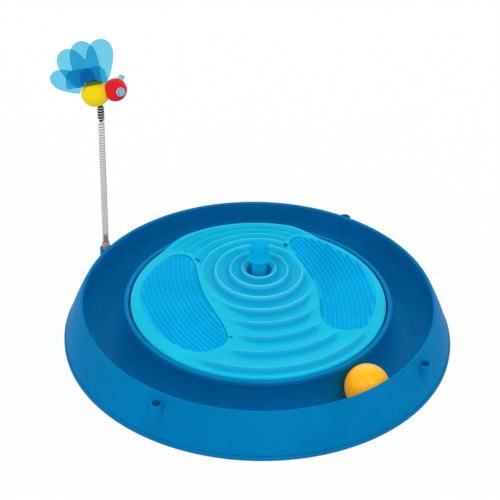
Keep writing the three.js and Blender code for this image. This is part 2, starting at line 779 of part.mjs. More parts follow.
function beeBody() {
  const groove = new THREE.BoxGeometry(2 * BODY_LENGTH, GROOVE_WIDTH, BODY_HEIGHT);
  groove.translate(0, GROOVE_Y, GROOVE_FLOOR + BODY_HEIGHT / 2);
  groove.applyMatrix4(BODY_PLACE);
  const seat = cylinder(SPRING_DIAMETER / 2 + 1, BODY_Z - BODY_HEIGHT, BEE_SEAT_HEIGHT);
  const plugHole = cylinder(CORE_RADIUS + GAP, BODY_Z - BODY_HEIGHT, BEE_SEAT_HEIGHT + PLUG_SINK);
  return bodyShape(0).subtract(solid(groove)).subtract(seat).subtract(plugHole);
}

// Where an eye looks: side is 1 on the bee's left and -1 on its right.
function eyePlace(side, forward, raise) {
  const level = Math.cos(rad(raise));
  const look = new THREE.Vector3(
    level * Math.sin(rad(forward)),
    side * level * Math.cos(rad(forward)),
    Math.sin(rad(raise)),
  );
  const turn = new THREE.Quaternion().setFromUnitVectors(new THREE.Vector3(0, 0, 1), look);
  const place = new THREE.Matrix4().makeRotationFromQuaternion(turn);
  return place.setPosition(HEAD_X, 0, HEAD_Z);
}

const EYES = {
  left: eyePlace(1, EYE_FORWARD.left, EYE_RAISE.left),
  right: eyePlace(-1, EYE_FORWARD.right, EYE_RAISE.right),
};

function placed(body, matrix) {
  return solid(geometryOf(body).applyMatrix4(matrix));
}

const EYE_SEAT = HEAD_RADIUS - EYE_SEAT_SINK;

function beeHead() {
  const ball = new THREE.SphereGeometry(HEAD_RADIUS, 14, 9).translate(HEAD_X, 0, HEAD_Z);
  let head = solid(ball).subtract(bodyShape(GAP));
  for (const place of Object.values(EYES)) {
    const seat = cylinder(EYE_RING_RADIUS + GAP, EYE_SEAT, 2 * HEAD_RADIUS);
    const hole = cylinder(EYE_PEG_RADIUS + GAP, EYE_SEAT - EYE_PEG_SINK, 2 * HEAD_RADIUS);
    head = head.subtract(placed(seat.add(hole), place));
  }
  return head;
}

function eyeRing() {
  const foot = EYE_SEAT + GAP;
  const top = foot + EYE_RING_HEIGHT;
  const hole = EYE_PEG_RADIUS + GAP;
  return turned([
    [hole, foot],
    [EYE_RING_RADIUS, foot],
    [EYE_RING_RADIUS, top],
    [hole, top],
    [hole, foot],
  ]);
}

function eyePeg() {
  const foot = EYE_SEAT - EYE_PEG_SINK + GAP;
  const top = HEAD_RADIUS + EYE_PEG_SHOW;
  return turned([
    [0, foot],
    [EYE_PEG_RADIUS, foot],
    [EYE_PEG_RADIUS, top - EYE_PEG_RADIUS / 3],
    [(2 * EYE_PEG_RADIUS) / 3, top],
    [0, top],
  ]);
}

const WINGS = {
  right: {
    pivotY: RIGHT_WING_Y,
    lean: RIGHT_WING_LEAN,
    low: RIGHT_WING_LOW,
    lobes: [
      lobe(RIGHT_FRONT_ROOT, RIGHT_FRONT_ANGLE, FRONT_LOBE_LENGTH, FRONT_LOBE_WIDTH),
      lobe(REAR_LOBE_ROOT, RIGHT_REAR_ANGLE, RIGHT_REAR_LENGTH, RIGHT_REAR_WIDTH),
    ],
  },
  left: {
    pivotY: LEFT_WING_Y,
    lean: LEFT_WING_LEAN,
    low: LEFT_WING_LOW,
    lobes: [
      lobe(LEFT_FRONT_ROOT, LEFT_FRONT_ANGLE, FRONT_LOBE_LENGTH, FRONT_LOBE_WIDTH),
      lobe(REAR_LOBE_ROOT, LEFT_REAR_ANGLE, LEFT_REAR_LENGTH, LEFT_REAR_WIDTH),
    ],
  },
};

// A petal from its root to its rounded tip.
function lobe(root, angle, length, width) {
  const half = width / 2;
  const rootHalf = LOBE_ROOT_SHARE * half;
  const shape = new THREE.Shape();
  shape.moveTo(-rootHalf, 0);
  shape.bezierCurveTo(-half, 0.25 * length, -1.04 * half, 0.48 * length, -half, 0.64 * length);
  shape.bezierCurveTo(-0.93 * half, 0.87 * length, -0.5 * half, length, 0, length);
  shape.bezierCurveTo(0.5 * half, length, 0.93 * half, 0.87 * length, half, 0.64 * length);
  shape.bezierCurveTo(1.04 * half, 0.48 * length, half, 0.25 * length, rootHalf, 0);
  const options = { depth: FILM_THICKNESS, bevelEnabled: false, curveSegments: 5 };
  const geometry = new THREE.ExtrudeGeometry(shape, options);
  return solid(geometry.translate(0, 0, -FILM_THICKNESS / 2).rotateZ(rad(angle)).translate(root, 0, 0));
}

// Where a film stands in the body's own frame.
function filmPlace({ pivotY, lean }) {
  return new THREE.Matrix4()
    .makeTranslation(0, pivotY, WING_PIVOT_Z)
    .multiply(new THREE.Matrix4().makeRotationX(Math.PI / 2 - rad(lean)));
}

function wingFilm(wing) {
  const body = bodyShape(FILM_BODY_PLAY, filmPlace(wing).invert());
  const drop = WING_PIVOT_Z - GROOVE_FLOOR - GAP - FILM_THICKNESS;
  const tab = new THREE.BoxGeometry(FILM_TAB_WIDTH, FILM_TAB_RISE + drop, FILM_THICKNESS);
  tab.translate(0, (FILM_TAB_RISE - drop) / 2, 0);
  const reach = 4 * FRONT_LOBE_LENGTH;
  const below = new THREE.BoxGeometry(reach, reach, reach).translate(0, wing.low - reach / 2, 0);
  const [front, rear] = wing.lobes;
  return front.add(rear).subtract(body).subtract(solid(below)).add(solid(tab));
}

// Materials

function finish(color, roughness, metalness = 0) {
  return new THREE.MeshStandardMaterial({ color, roughness, metalness });
}

const BLUE = finish(0x0a6fb0, 0.38);
const CYAN = finish(0x0ab8e0, 0.45);
const SOFT_BLUE = finish(0x08a8e4, 0.6);
const YELLOW_GLOSS = finish(0xffb41a, 0.25);
const STEEL = finish(0xb8b8b4, 0.3, 1);
const BLACK = finish(0x16130f, 0.5);
const GREY = finish(0xb7aea6, 0.5);
const RUBBER = finish(0x2b2f33, 0.9);
const FELT_YELLOW = finish(0xfcd900, 0.95);
const FELT_RED = finish(0xed1c24, 0.95);
const EYE_BLUE = finish(0x5cc5d8, 0.4);
const WHITE = finish(0xd9e4f2, 0.5);
const FILM = finish(0x3fb4e0, 0.15);

// Assembly

const toy = new THREE.Group();

function put(name, body, material, parent = toy) {
  const mesh = new THREE.Mesh(geometryOf(body), material);
  mesh.name = name;
  parent.add(mesh);
  return mesh;
}

put("base_plate", basePlate(), BLUE);
put("track_wall", trackWall(), BLUE);
put("centre_hub", centreHub(), BLUE);
footPlaces().forEach(([x, y], i) => put(`foot_pad_${i + 1}`, footPad(), RUBBER).position.set(x, y, 0));
screwPlaces().forEach(([x, y], i) => put(`hub_screw_${i + 1}`, hubScrew(), STEEL).position.set(x, y, 0));

put("massage_disc", massageDisc(), CYAN);
let strandCount = 0;
for (const [side, zone] of Object.entries(ZONES)) {
  const { pad, count } = bristlePad(zone);
  put(`${side}_bristle_pad`, pad, SOFT_BLUE);
  strandCount += count;
}
console.log("bristles", strandCount);
put("centre_nub", centreNub(), SOFT_BLUE).position.set(0, CRATER_Y, 0);

const ball = new THREE.Group();
ball.position.set(...polar(BALL_ORBIT_RADIUS, BALL_AZIMUTH), BALL_HEIGHT);
toy.add(ball);
put("ball_upper_half", ballHalf(1), YELLOW_GLOSS, ball);
put("ball_lower_half", ballHalf(-1), YELLOW_GLOSS, ball);

const mast = new THREE.Group();
mast.position.set(...socketPlaces()[MAST_SOCKET], 0);
toy.add(mast);
put("spring_foot", springFoot(), GREY, mast);
put("spring", spring(), STEEL, mast);
put("spring_plug", springPlug(), BLACK, mast);
put("bee_body", beeBody(), FELT_YELLOW, mast);
put("bee_head", beeHead(), FELT_RED, mast);
for (const [side, place] of Object.entries(EYES)) {
  put(`${side}_eye_ring`, placed(eyeRing(), place), WHITE, mast);
  put(`${side}_eye_peg`, placed(eyePeg(), place), EYE_BLUE, mast);
}
const pitched = new THREE.Group();
pitched.applyMatrix4(BODY_PLACE);
mast.add(pitched);
for (const [side, wing] of Object.entries(WINGS)) {
  const film = put(`${side}_wing_film`, wingFilm(wing), FILM, pitched);
  film.applyMatrix4(filmPlace(wing));
}

export default toy;
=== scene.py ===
# Looks of the cat scratcher toy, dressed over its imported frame.
# Sizes are written in millimetres, and each mesh is made in metres.
import math

import bmesh
import bpy
import numpy as np
from mathutils import Matrix, Vector

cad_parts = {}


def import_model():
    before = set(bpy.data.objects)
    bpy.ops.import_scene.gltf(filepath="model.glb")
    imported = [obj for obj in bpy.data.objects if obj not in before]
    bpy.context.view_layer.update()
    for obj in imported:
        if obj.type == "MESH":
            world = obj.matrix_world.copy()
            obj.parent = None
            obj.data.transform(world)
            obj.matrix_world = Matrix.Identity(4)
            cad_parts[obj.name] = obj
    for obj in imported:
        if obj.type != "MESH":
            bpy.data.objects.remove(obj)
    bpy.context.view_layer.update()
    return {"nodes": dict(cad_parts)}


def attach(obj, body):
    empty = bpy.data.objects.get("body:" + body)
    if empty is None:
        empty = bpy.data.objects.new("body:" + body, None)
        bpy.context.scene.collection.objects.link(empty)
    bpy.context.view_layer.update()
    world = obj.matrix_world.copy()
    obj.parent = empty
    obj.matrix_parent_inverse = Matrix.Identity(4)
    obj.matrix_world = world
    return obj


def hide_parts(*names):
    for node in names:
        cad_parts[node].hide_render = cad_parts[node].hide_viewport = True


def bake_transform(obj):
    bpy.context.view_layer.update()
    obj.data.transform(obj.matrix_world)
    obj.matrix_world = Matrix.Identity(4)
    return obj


MM = 0.001
GAP = 0.3

# Mesh detail
RING_SEGMENTS = 180
SMALL_SEGMENTS = 48
DISC_SEGMENTS = 240
PROFILE_STEPS = 12
ROUND_STEPS = 4
SHARP_ANGLE = 35
SOFT_SHARP_ANGLE = 50
WIRE_SHARP_ANGLE = 60
TINY = 1e-6

# Massage disc and its seat
DISC_RADIUS = 119.7
DISC_EDGE_HEIGHT = 40.4
DISC_EDGE_ROUND = 1.4
DISC_SKIRT_WIDTH = 3.7
DECK_THICKNESS = 5.0
RECESS_RADIUS = 121.4
LEDGE_HEIGHT = 30.0
LEDGE_WIDTH = 4.9

# Hub tray
LIP_RADIUS = 125.5
LIP_TOP = 40.3
LIP_HEIGHT = 5.0
HUB_WALL = 2.2
HUB_WALL_RADIUS = 122.95
FLANGE_RADIUS = 136.95
HUB_COVE_TOP = 25.0
HUB_EDGE_ROUND = 1.0
CHAMBER_FLOOR = 24.0
CHAMBER_FLOOR_THICKNESS = 2.0

# Track, ball and outer wall
BALL_RADIUS = 20.3
BALL_ORBIT_RADIUS = 144.65
BALL_AZIMUTH = -46.9
BALL_HEIGHT = 24.1
BALL_SEAM = GAP / 4
BALL_ARC_END = 1.5
BALL_SEGMENTS = 72
WALL_FOOT_RADIUS = 181.2
WALL_FOOT_HEIGHT = 4.8
WALL_LEAN = 15.0
WALL_BULGE = 1.2
WALL_THICKNESS = 2.4
LINER_THICKNESS = 1.8
RIM_INNER_RADIUS = 163.8
RIM_HEIGHT = 42.1
TRACK_SIDE = 166.35

# Base plate
BASE_RADIUS = 182.5
BASE_EDGE_HEIGHT = 4.5
BASE_EDGE_ROUND = 0.7
FLOOR_TOP = 3.5
HUB_FLOOR_TOP = 2.4
COVE_WIDTH = 16.4
COVE_HEIGHT = 18.5
COVE_TOP = FLOOR_TOP + COVE_HEIGHT
SEAM_HEIGHT = 9.5
SEAM_WIDTH = 3.0
SEAM_GAP = 0.1
FOOT_RADIUS = 8.0
FOOT_THICKNESS = 1.6
FOOT_CIRCLE = 150.0
SCREW_CIRCLE = 80.0
SCREW_HEAD_RADIUS = 3.5
SCREW_HEAD_HEIGHT = 1.1
SCREW_HOLE_RADIUS = 1.9
BELOW_PLATE = -1.0
CORNER_AZIMUTH = 45.0

# Mast sockets
SOCKET_CIRCLE = 173.45
FIRST_SOCKET_AZIMUTH = -119.6
SOCKET_BOSS_RADIUS = 5.8
SOCKET_HOLE_RADIUS = 4.1
SOCKET_TOP = 36.0
SOCKET_DEPTH = 14.0
SOCKET_FOOT_HEIGHT = 12.0
SOCKET_EDGE_ROUND = 0.6
MAST_AZIMUTH = FIRST_SOCKET_AZIMUTH + 270
LINER_FOOT = SEAM_HEIGHT + SEAM_GAP
HOLLOW_TOP = SOCKET_TOP - LINER_THICKNESS

# Ripples
CRATER_Y = 44.0
CRATER_RADIUS = 12.2
CRATER_CREST = 16.0
CRATER_FLOOR = 33.0
CRATER_WALL = 2.0
CRATER_SEGMENTS = 64
FIRST_CREST = 27.5
RIPPLE_PITCH = 14.0
STEEP_SHARE = 0.36
CREST_HEIGHT = 1.6
INNER_TROUGH_DEPTH = 3.6
OUTER_TROUGH_DEPTH = 1.6
RIPPLE_FADE = 9.0
RIPPLE_END_MARGIN = (8.0, 1.0)
FRONT_FADE = {"left": 22.0, "right": 9.0}
FRONT_FADE_Y = (0.0, 30.0)
INNER_RINGS = (43.0, 52.0)
RING_STEP = 1.4
RING_SPACE = 0.5
RING_RANGE = (6.0, DISC_RADIUS - 2)
SHADE_SHARE = (0.95, 0.6)
SHADE_RINGS = (40.0, 90.0)
SHADE_START = 0.2
FULL_SHADE_STRENGTH = 0.7
CREST_WIDTH = 0.5
CREST_BEAD = 0.3
CREST_FADE = 0.75
BAND_RISE = 6.6
BAND_Y = (-110.0, 120.0)
RAISED_EDGE = (67.0, 137.0)
RAISED_EDGE_FADE = 9.0
EDGE_FADE_WIDTH = 20.0

# Centre nub: a bell on a ribbed stem
NUB_STEM_RADIUS = 7.0
NUB_RIB_COUNT = 20
NUB_RIB_DEPTH = 0.9
NUB_BELL_RADIUS = 10.8
NUB_DOME_RADIUS = 8.3
NUB_BELL_HEIGHT = 19.9
NUB_TOP = 76.4
NUB_BELL_FOOT = NUB_TOP - NUB_BELL_HEIGHT
NUB_BUMP_FOOT = NUB_BELL_FOOT + 4.0
NUB_BUMP_RADIUS = 1.1
NUB_BUMP_SINK = 0.3
NUB_BUMP_COUNT = 130
NUB_BUMP_ANGLES = (0, 30, 60, 85)
NUB_POLE_ANGLE = 88.0

# Bristle zones
ZONE_ARC_Y = 8.0
ZONE_ARC_RADIUS = 110.2
ZONE_FLOOR = 35.7
ZONE_TRAY_WALL = 1.8
LEFT_ARC = (172.0, 233.0)
LEFT_INNER_EDGE = [
    (-50, -83.5), (-36, -78), (-27, -66), (-30, -47), (-41, -22), (-51, 1),
    (-57, 24), (-61, 46), (-68, 60), (-82, 62), (-95, 51),
]
RIGHT_ARC = (-27.0, 22.0)
RIGHT_INNER_EDGE = [
    (92.5, 63), (70, 85.5), (49, 98), (34, 96), (29, 86), (33, 70),
    (44, 47), (53, 22), (57, 0), (58.5, -28), (65, -41), (82, -47),
]
VENTS = [(-59.5, 55, 2.6), (25.8, 82.8, 2.6), (-24, -61, 1.8)]
PLAIN_EDGES = [(139.0, 233.0), (-27.0, 66.0)]
PLAIN_EDGE_RADIUS = (92.0, 100.0)
PLAIN_EDGE_FADE = (6.0, 4.0)
ROW_CENTRES = {"left": (110.0, 60.0), "right": (-124.5, -24.0)}
FIRST_ROW = {"left": 173.4, "right": 184.8}
ROW_PITCH = 4.4
BRISTLE_PITCH = 3.4
BRISTLE_BASE = 1.15
BRISTLE_TIP = 0.95
BRISTLE_LENGTH = 1.4
BRISTLE_SHOW = 0.8
BRISTLE_MARGIN = 1.7
BRISTLE_SIDES = 8
# Each ring of a bristle's end: its share of the tip radius, and its drop below the tip
BRISTLE_END = [(1.15, 0.8), (0.8, 0.2), (0.2, 0.0)]

# Spring mast
FOOT_NECK_RADIUS = 3.05
FOOT_FLANGE_RADIUS = 3.9
FOOT_FLANGE_FOOT = 38.0
FOOT_FLANGE_TOP = 41.5
SPIGOT_LENGTH = 9.0
FOOT_CHAMFER = 1.0
FOOT_EDGE_ROUND = 0.4
FOOT_GROOVE_RADIUS = 0.55
FOOT_GROOVE_CIRCLE = FOOT_NECK_RADIUS + 0.3
FOOT_GROOVE_HEIGHT = (SOCKET_TOP - 6.0, FOOT_FLANGE_FOOT - 0.2)
WIRE_RADIUS = 0.425
WIRE_SIDES = 8
BRIGHT_DEPTH = 0.2
BRIGHT_RISE = 1.0
COIL_RADIUS = 2.575
CORE_RADIUS = 1.85
SPRING_FOOT_HEIGHT = 41.8
SPRING_TOP_HEIGHT = 195.0
SPRING_TURNS = 52
TURN_STEPS = 18
BEE_SEAT_HEIGHT = 193.5
PLUG_LENGTH = 16.0
PLUG_SINK = 9.0
PLUG_EDGE_ROUND = 0.5
PLUG_SEGMENTS = 32
THREAD_RADIUS = 0.9
THREAD_CIRCLE = 2.45

# Bee
BEE_PITCH = 12.0
BODY_X = -4.4
BODY_Z = 207.9
BODY_HALF = (13.0, 12.5, 12.5)
BODY_CUT_FOOT = BODY_Z - 20.0
SPRING_SEAT_PLAY = 1.0
HEAD_X = 14.3
HEAD_Z = 212.0
HEAD_RADIUS = 10.7
GROOVE_WIDTH = 8.8
GROOVE_Y = -1.2
GROOVE_FLOOR = 8.5
GROOVE_REACH = 40.0
EYE_FORWARD = {"left": 27.0, "right": 32.0}
EYE_RAISE = {"left": 36.0, "right": 15.0}
EYE_RING_RADIUS = 4.1
EYE_RING_HEIGHT = 1.4
EYE_RING_ROUND = 0.5
EYE_SEAT = 9.6
EYE_PEG_RADIUS = 2.7
EYE_PEG_TOP = 15.3
EYE_PEG_SINK = 3.0
EYE_PEG_ROUND = 0.8

# Wing films
FILM_THICKNESS = 0.4
FILM_TAB = (18.0, 7.0)
FILM_DROP = 0.3
FILM_BODY_PLAY = 1.2
WING_PIVOT_Z = 9.6
CLEAR_HEIGHT = (2.6, 3.2)
CLEAR_HALF_WIDTH = (7.4, 8.0)
FLAP_GAP = 0.5
FLAP_SQUARENESS = 0.55
CUT_REACH = 200.0
CUT_DEPTH = 5.0
LOBE_STEPS = 14
# A lobe's left side from root to tip, in shares of its half width and its length
LOBE_SIDE = [
    [(-0.75, 0.0), (-1.0, 0.25), (-1.04, 0.48), (-1.0, 0.64)],
    [(-1.0, 0.64), (-0.93, 0.87), (-0.5, 1.0), (0.0, 1.0)],
]
# Lobes are root, angle, length and width; flaps are ends and rise
WINGS = {
    "right": {
        "y": -2.2,
        "lean": 18.0,
        "low": -7.0,
        "lobes": [(-2.0, 2.5, 42.0, 25.5), (-3.0, 68.0, 37.0, 20.0)],
        "flap": (-24.0, 4.0, 17.0),
    },
    "left": {
        "y": -0.6,
        "lean": 36.0,
        "low": -1.0,
        "lobes": [(3.0, -16.0, 42.0, 25.5), (-3.0, 33.0, 41.6, 24.4)],
        "flap": (-11.0, 14.0, 16.0),
    },
}

# Camera, from the photograph
CAMERA_PLACE = (0.0, -1263.5, 957.85)
CAMERA_TARGET = (-8.7, 0.0, 95.5)
CAMERA_ROLL = 1.22
CAMERA_LENS = 119.87
SENSOR_WIDTH = 36.0
CLIP_RANGE = (0.05, 50.0)

# Studio
SKY_COLOUR = (0.95, 0.97, 1.0, 1)
SKY_AT_HORIZON = 1.1
SKY_OVERHEAD = 0.4
FLOOR_COLOUR = (0.9, 0.9, 0.9, 1)
FLOOR_WHITE_SHARE = 0.94
FLOOR_REACH = 6000.0
FLOOR_DROP = 0.2
# Softboxes by direction, size in metres and power in watts
SOFTBOX_DISTANCE = 1.9
SOFTBOXES = {
    "left_softbox": ((-0.44, -0.53, 0.72), 0.6, 5),
    "right_softbox": ((0.40, -0.48, 0.78), 0.6, 5),
    "back_softbox": ((0.0, 0.75, 0.6), 1.6, 12),
}


# Numbers and curves


def polar(radius, azimuth):
    return radius * math.cos(math.radians(azimuth)), radius * math.sin(math.radians(azimuth))


def circle(radius, sides):
    return [polar(radius, 360 * j / sides) for j in range(sides)]


def at(x, y, z):
    """The move to a place in millimetres."""
    return Matrix.Translation((x * MM, y * MM, z * MM))


def smooth(value, low, high):
    """A soft step from 0 at low to 1 at high."""
    share = np.clip((np.asarray(value, float) - low) / (high - low), 0, 1)
    return share * share * (3 - 2 * share)


def rounded(points, radius):
    """The same open profile with its inner corners rounded off."""
    made = [points[0]]
    for before, corner, after in zip(points, points[1:], points[2:]):
        before, corner, after = Vector(before), Vector(corner), Vector(after)
        reach = min(radius, (before - corner).length / 2, (after - corner).length / 2)
        start = corner + (before - corner).normalized() * reach
        end = corner + (after - corner).normalized() * reach
        for t in np.linspace(0, 1, ROUND_STEPS + 1):
            made.append(tuple(start * (1 - t) ** 2 + corner * 2 * t * (1 - t) + end * t * t))
    return made + [points[-1]]


def post(radius, low, high, edge_round):
    """The profile of an upright round post."""
    return rounded([(0, low), (radius, low), (radius, high), (0, high)], edge_round)


def spline(points, per_span):
    """A smooth curve through points, with the ends kept."""
    p = np.array([points[0], *points, points[-1]], float)
    made = []
    for i in range(1, len(p) - 2):
        for t in np.arange(per_span) / per_span:
            a = 2 * p[i]
            b = p[i + 1] - p[i - 1]
            c = 2 * p[i - 1] - 5 * p[i] + 4 * p[i + 1] - p[i + 2]
            d = 3 * p[i] - p[i - 1] - 3 * p[i + 1] + p[i + 2]
            made.append((a + b * t + c * t * t + d * t**3) / 2)
    return np.array([*made, p[-2]])


def helix(radius, start, turns, pitch):
    turn = np.arange(int(round(turns * TURN_STEPS)) + 1) / TURN_STEPS
    angle = 2 * math.pi * turn
    return np.stack([radius * np.cos(angle), radius * np.sin(angle), start + pitch * turn], -1)


# Meshes


def in_scene(name, data):
    made = bpy.data.objects.new(name, data)
    bpy.context.scene.collection.objects.link(made)
    return made


def new_object(name, points, faces, material=None, sharp=SHARP_ANGLE, place=None):
    mesh = bpy.data.meshes.new(name)
    mesh.from_pydata([tuple(p) for p in np.asarray(points, float) * MM], [], faces)
    mesh.validate()
    if place is not None:
        mesh.transform(place)
    mesh.update()
    mesh.shade_smooth()
    mesh.set_sharp_from_angle(angle=math.radians(sharp))
    if material is not None:
        mesh.materials.append(material)
    return in_scene(name, mesh)


def ring_faces(rows):
    """Faces that join each row of point numbers to the next; a row of one number is a pole."""
    columns = max(len(row) for row in rows)
    faces = []
    for a, b in zip(rows, rows[1:]):
        for j in range(columns):
            k = (j + 1) % columns
            corners = dict.fromkeys((a[j % len(a)], a[k % len(a)], b[k % len(b)], b[j % len(b)]))
            if len(corners) > 2:
                faces.append(tuple(corners))
    return faces


def add_rings(points, rings):
    """Adds rings of points to a mesh and gives a row of point numbers for each."""
    rows = []
    for ring in rings:
        rows.append(range(len(points), len(points) + len(ring)))
        points.extend(ring)
    return rows


def add_skin(points, faces, rings):
    """Adds rings to a mesh, joined and capped; the first ring is the lower one."""
    rows = add_rings(points, rings)
    faces.extend(ring_faces(rows))
    faces.append(tuple(reversed(rows[0])))
    faces.append(tuple(rows[-1]))


def skin(name, rings, material=None, sharp=SHARP_ANGLE, place=None):
    points, faces = [], []
    add_skin(points, faces, rings)
    return new_object(name, points, faces, material, sharp, place)


def turned(name, profile, material=None, segments=SMALL_SEGMENTS, place=None):
    """A profile of (radius, height) points turned about Z; it closes on the axis or on itself."""
    closed = profile[0] == profile[-1]
    rings = []
    for radius, z in profile[:-1] if closed else profile:
        ring = circle(radius, segments) if radius > TINY else [(0, 0)]
        rings.append([(x, y, z) for x, y in ring])
    points = []
    rows = add_rings(points, rings)
    if closed:
        rows.append(rows[0])
    return new_object(name, points, ring_faces(rows), material, place=place)


def prism(name, outline, low, high, place=None, material=None):
    rings = [[(x, y, z) for x, y in outline] for z in (low, high)]
    return skin(name, rings, material, place=place)


def cylinder(name, radius, low, high, x=0.0, y=0.0, segments=SMALL_SEGMENTS, place=None):
    outline = [(x + dx, y + dy) for dx, dy in circle(radius, segments)]
    return prism(name, outline, low, high, place)


def box(name, low, high, place):
    corners = [(low[0], low[1]), (high[0], low[1]), (high[0], high[1]), (low[0], high[1])]
    return prism(name, corners, low[2], high[2], place)


def ellipsoid(name, half, place, material=None, columns=72, rows=40):
    """An ellipsoid with its poles on X."""
    rings = [[(-half[0], 0, 0)]]
    for i in range(1, rows):
        turn = math.pi * i / rows
        ring = circle(math.sin(turn), columns)
        rings.append([(-half[0] * math.cos(turn), half[1] * y, half[2] * z) for y, z in ring])
    rings.append([(half[0], 0, 0)])
    points = []
    faces = ring_faces(add_rings(points, rings))
    return new_object(name, points, faces, material, place=place)


def tube(path, radius):
    """The rings of a round tube along a path about Z."""
    path = np.asarray(path, float)
    along = np.gradient(path, axis=0)
    along /= np.linalg.norm(along, axis=1, keepdims=True)
    outward = path * (1, 1, 0)
    outward -= along * np.sum(outward * along, axis=1, keepdims=True)
    outward /= np.linalg.norm(outward, axis=1, keepdims=True)
    across = np.cross(along, outward)
    section = np.array(circle(radius, WIRE_SIDES))
    return path[:, None] + outward[:, None] * section[:, :1] + across[:, None] * section[:, 1:]


def combine(obj, other, operation):
    """Cuts or joins one mesh with another, which is used up."""
    modifier = obj.modifiers.new("combine", "BOOLEAN")
    modifier.operation = operation
    modifier.solver = "EXACT"
    modifier.object = other
    bpy.context.view_layer.update()
    graph = bpy.context.evaluated_depsgraph_get()
    mesh = bpy.data.meshes.new_from_object(obj.evaluated_get(graph))
    obj.modifiers.clear()
    obj.data = mesh
    bpy.data.objects.remove(other)
    mesh.shade_smooth()
    mesh.set_sharp_from_angle(angle=math.radians(SHARP_ANGLE))


def cut(obj, other):
    combine(obj, other, "DIFFERENCE")


def join(obj, other):
    combine(obj, other, "UNION")


def mark(obj, name, share):
    """Writes one number per vertex, worked out from places in millimetres, for a material to read."""
    places = np.empty(3 * len(obj.data.vertices))
    obj.data.vertices.foreach_get("co", places)
    layer = obj.data.attributes.new(name, "FLOAT", "POINT")
    layer.data.foreach_set("value", share(places.reshape(-1, 3) / MM).astype(np.float32))


def dress(obj, node, body):
    """The piece stands for a CAD node, which it hides, and moves with its body."""
    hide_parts(node)
    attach(obj, body)


# Materials


def set_values(node, values):
    for socket, value in values.items():
        node.inputs[socket].default_value = value


def noise(tree, place, scale, detail=3.0, roughness=0.55):
    node = tree.nodes.new("ShaderNodeTexNoise")
    set_values(node, {"Scale": scale, "Detail": detail, "Roughness": roughness})
    tree.links.new(place, node.inputs["Vector"])
    return node.outputs["Fac"]


def spread(tree, factor, low, high):
    node = tree.nodes.new("ShaderNodeMapRange")
    set_values(node, {"To Min": low, "To Max": high})
    tree.links.new(factor, node.inputs["Value"])
    return node.outputs["Result"]


def bump(tree, principled, height, strength, distance):
    node = tree.nodes.new("ShaderNodeBump")
    set_values(node, {"Strength": strength, "Distance": distance})
    tree.links.new(height, node.inputs["Height"])
    tree.links.new(node.outputs["Normal"], principled.inputs["Normal"])


def shader(name, dark, light, scale, detail=3.0, roughness=0.55, ramp=(0.35, 0.65)):
    """A material whose tone runs from dark to light along a noise."""
    material = bpy.data.materials.new(name)
    material.use_nodes = True
    tree = material.node_tree
    principled = tree.nodes["Principled BSDF"]
    place = tree.nodes.new("ShaderNodeTexCoord").outputs["Object"]
    tones = tree.nodes.new("ShaderNodeValToRGB")
    for i, colour in enumerate((dark, light)):
        tones.color_ramp.elements[i].position = ramp[i]
        tones.color_ramp.elements[i].color = (*colour, 1)
    tree.links.new(noise(tree, place, scale, detail, roughness), tones.inputs["Fac"])
    tree.links.new(tones.outputs["Color"], principled.inputs["Base Color"])
    return material, tree, principled, place


def moulded(name, dark, light, gloss, grain=1400.0, shine=0.2):
    """Moulded plastic: tones that drift slowly, uneven gloss and a fine grain."""
    material, tree, principled, place = shader(name, dark, light, scale=22.0)
    patches = noise(tree, place, scale=90.0, detail=5.0)
    tree.links.new(spread(tree, patches, *gloss), principled.inputs["Roughness"])
    bump(tree, principled, noise(tree, place, grain, detail=2.0), strength=0.05, distance=0.0002)
    set_values(principled, {"Specular IOR Level": shine})
    return material


def tint(material, mark_name, colour):
    """Another tone where the mesh carries a mark."""
    tree = material.node_tree
    base = tree.nodes["Principled BSDF"].inputs["Base Color"]
    share = tree.nodes.new("ShaderNodeAttribute")
    share.attribute_name = mark_name
    mix = tree.nodes.new("ShaderNodeMix")
    mix.data_type = "RGBA"
    mix.inputs["B"].default_value = (*colour, 1)
    tree.links.new(share.outputs["Fac"], mix.inputs["Factor"])
    tree.links.new(base.links[0].from_socket, mix.inputs["A"])
    tree.links.new(mix.outputs["Result"], base)


def blown(name, dark, light, gloss, through, painted_glow_strength):
    """Thin blown plastic: glossy, with a painted glow, an emission that stands in for the light coming
    through the shell.
    """
    material = moulded(name, dark, light, gloss, shine=0.25)
    principled = material.node_tree.nodes["Principled BSDF"]
    set_values(principled, {"Emission Color": (*through, 1), "Emission Strength": painted_glow_strength})
    return material


def felt(name, dark, light):
    """Short felt pile: matted fibres, a mottled tone and a soft sheen."""
    material, tree, principled, place = shader(name, dark, light, 420.0, 6.0, 0.7, ramp=(0.3, 0.7))
    set_values(principled, {"Roughness": 0.95, "Specular IOR Level": 0.1})
    set_values(principled, {"Sheen Weight": 0.1, "Sheen Roughness": 0.5})
    fibres = noise(tree, place, scale=1500.0, detail=8.0, roughness=0.75)
    bump(tree, principled, fibres, strength=0.6, distance=0.0004)
    return material


def metal(name, dark, light, gloss):
    """Drawn steel: faint streaks of tone and gloss."""
    material, tree, principled, place = shader(name, dark, light, scale=160.0, detail=4.0)
    streaks = noise(tree, place, scale=700.0, detail=4.0)
    tree.links.new(spread(tree, streaks, *gloss), principled.inputs["Roughness"])
    set_values(principled, {"Metallic": 1.0})
    bump(tree, principled, noise(tree, place, scale=2600.0, detail=2.0), strength=0.05, distance=0.0001)
    return material


def tinted_film(name, dark, light, gloss):
    """Clear tinted film: light passes straight through and takes its colour."""
    material, tree, principled, place = shader(name, dark, light, scale=60.0, detail=2.0)
    haze = noise(tree, place, scale=200.0)
    tree.links.new(spread(tree, haze, *gloss), principled.inputs["Roughness"])
    set_values(principled, {"Transmission Weight": 1.0, "IOR": 1.12})
    bump(tree, principled, noise(tree, place, scale=45.0, detail=2.0), strength=0.15, distance=0.0006)
    return material


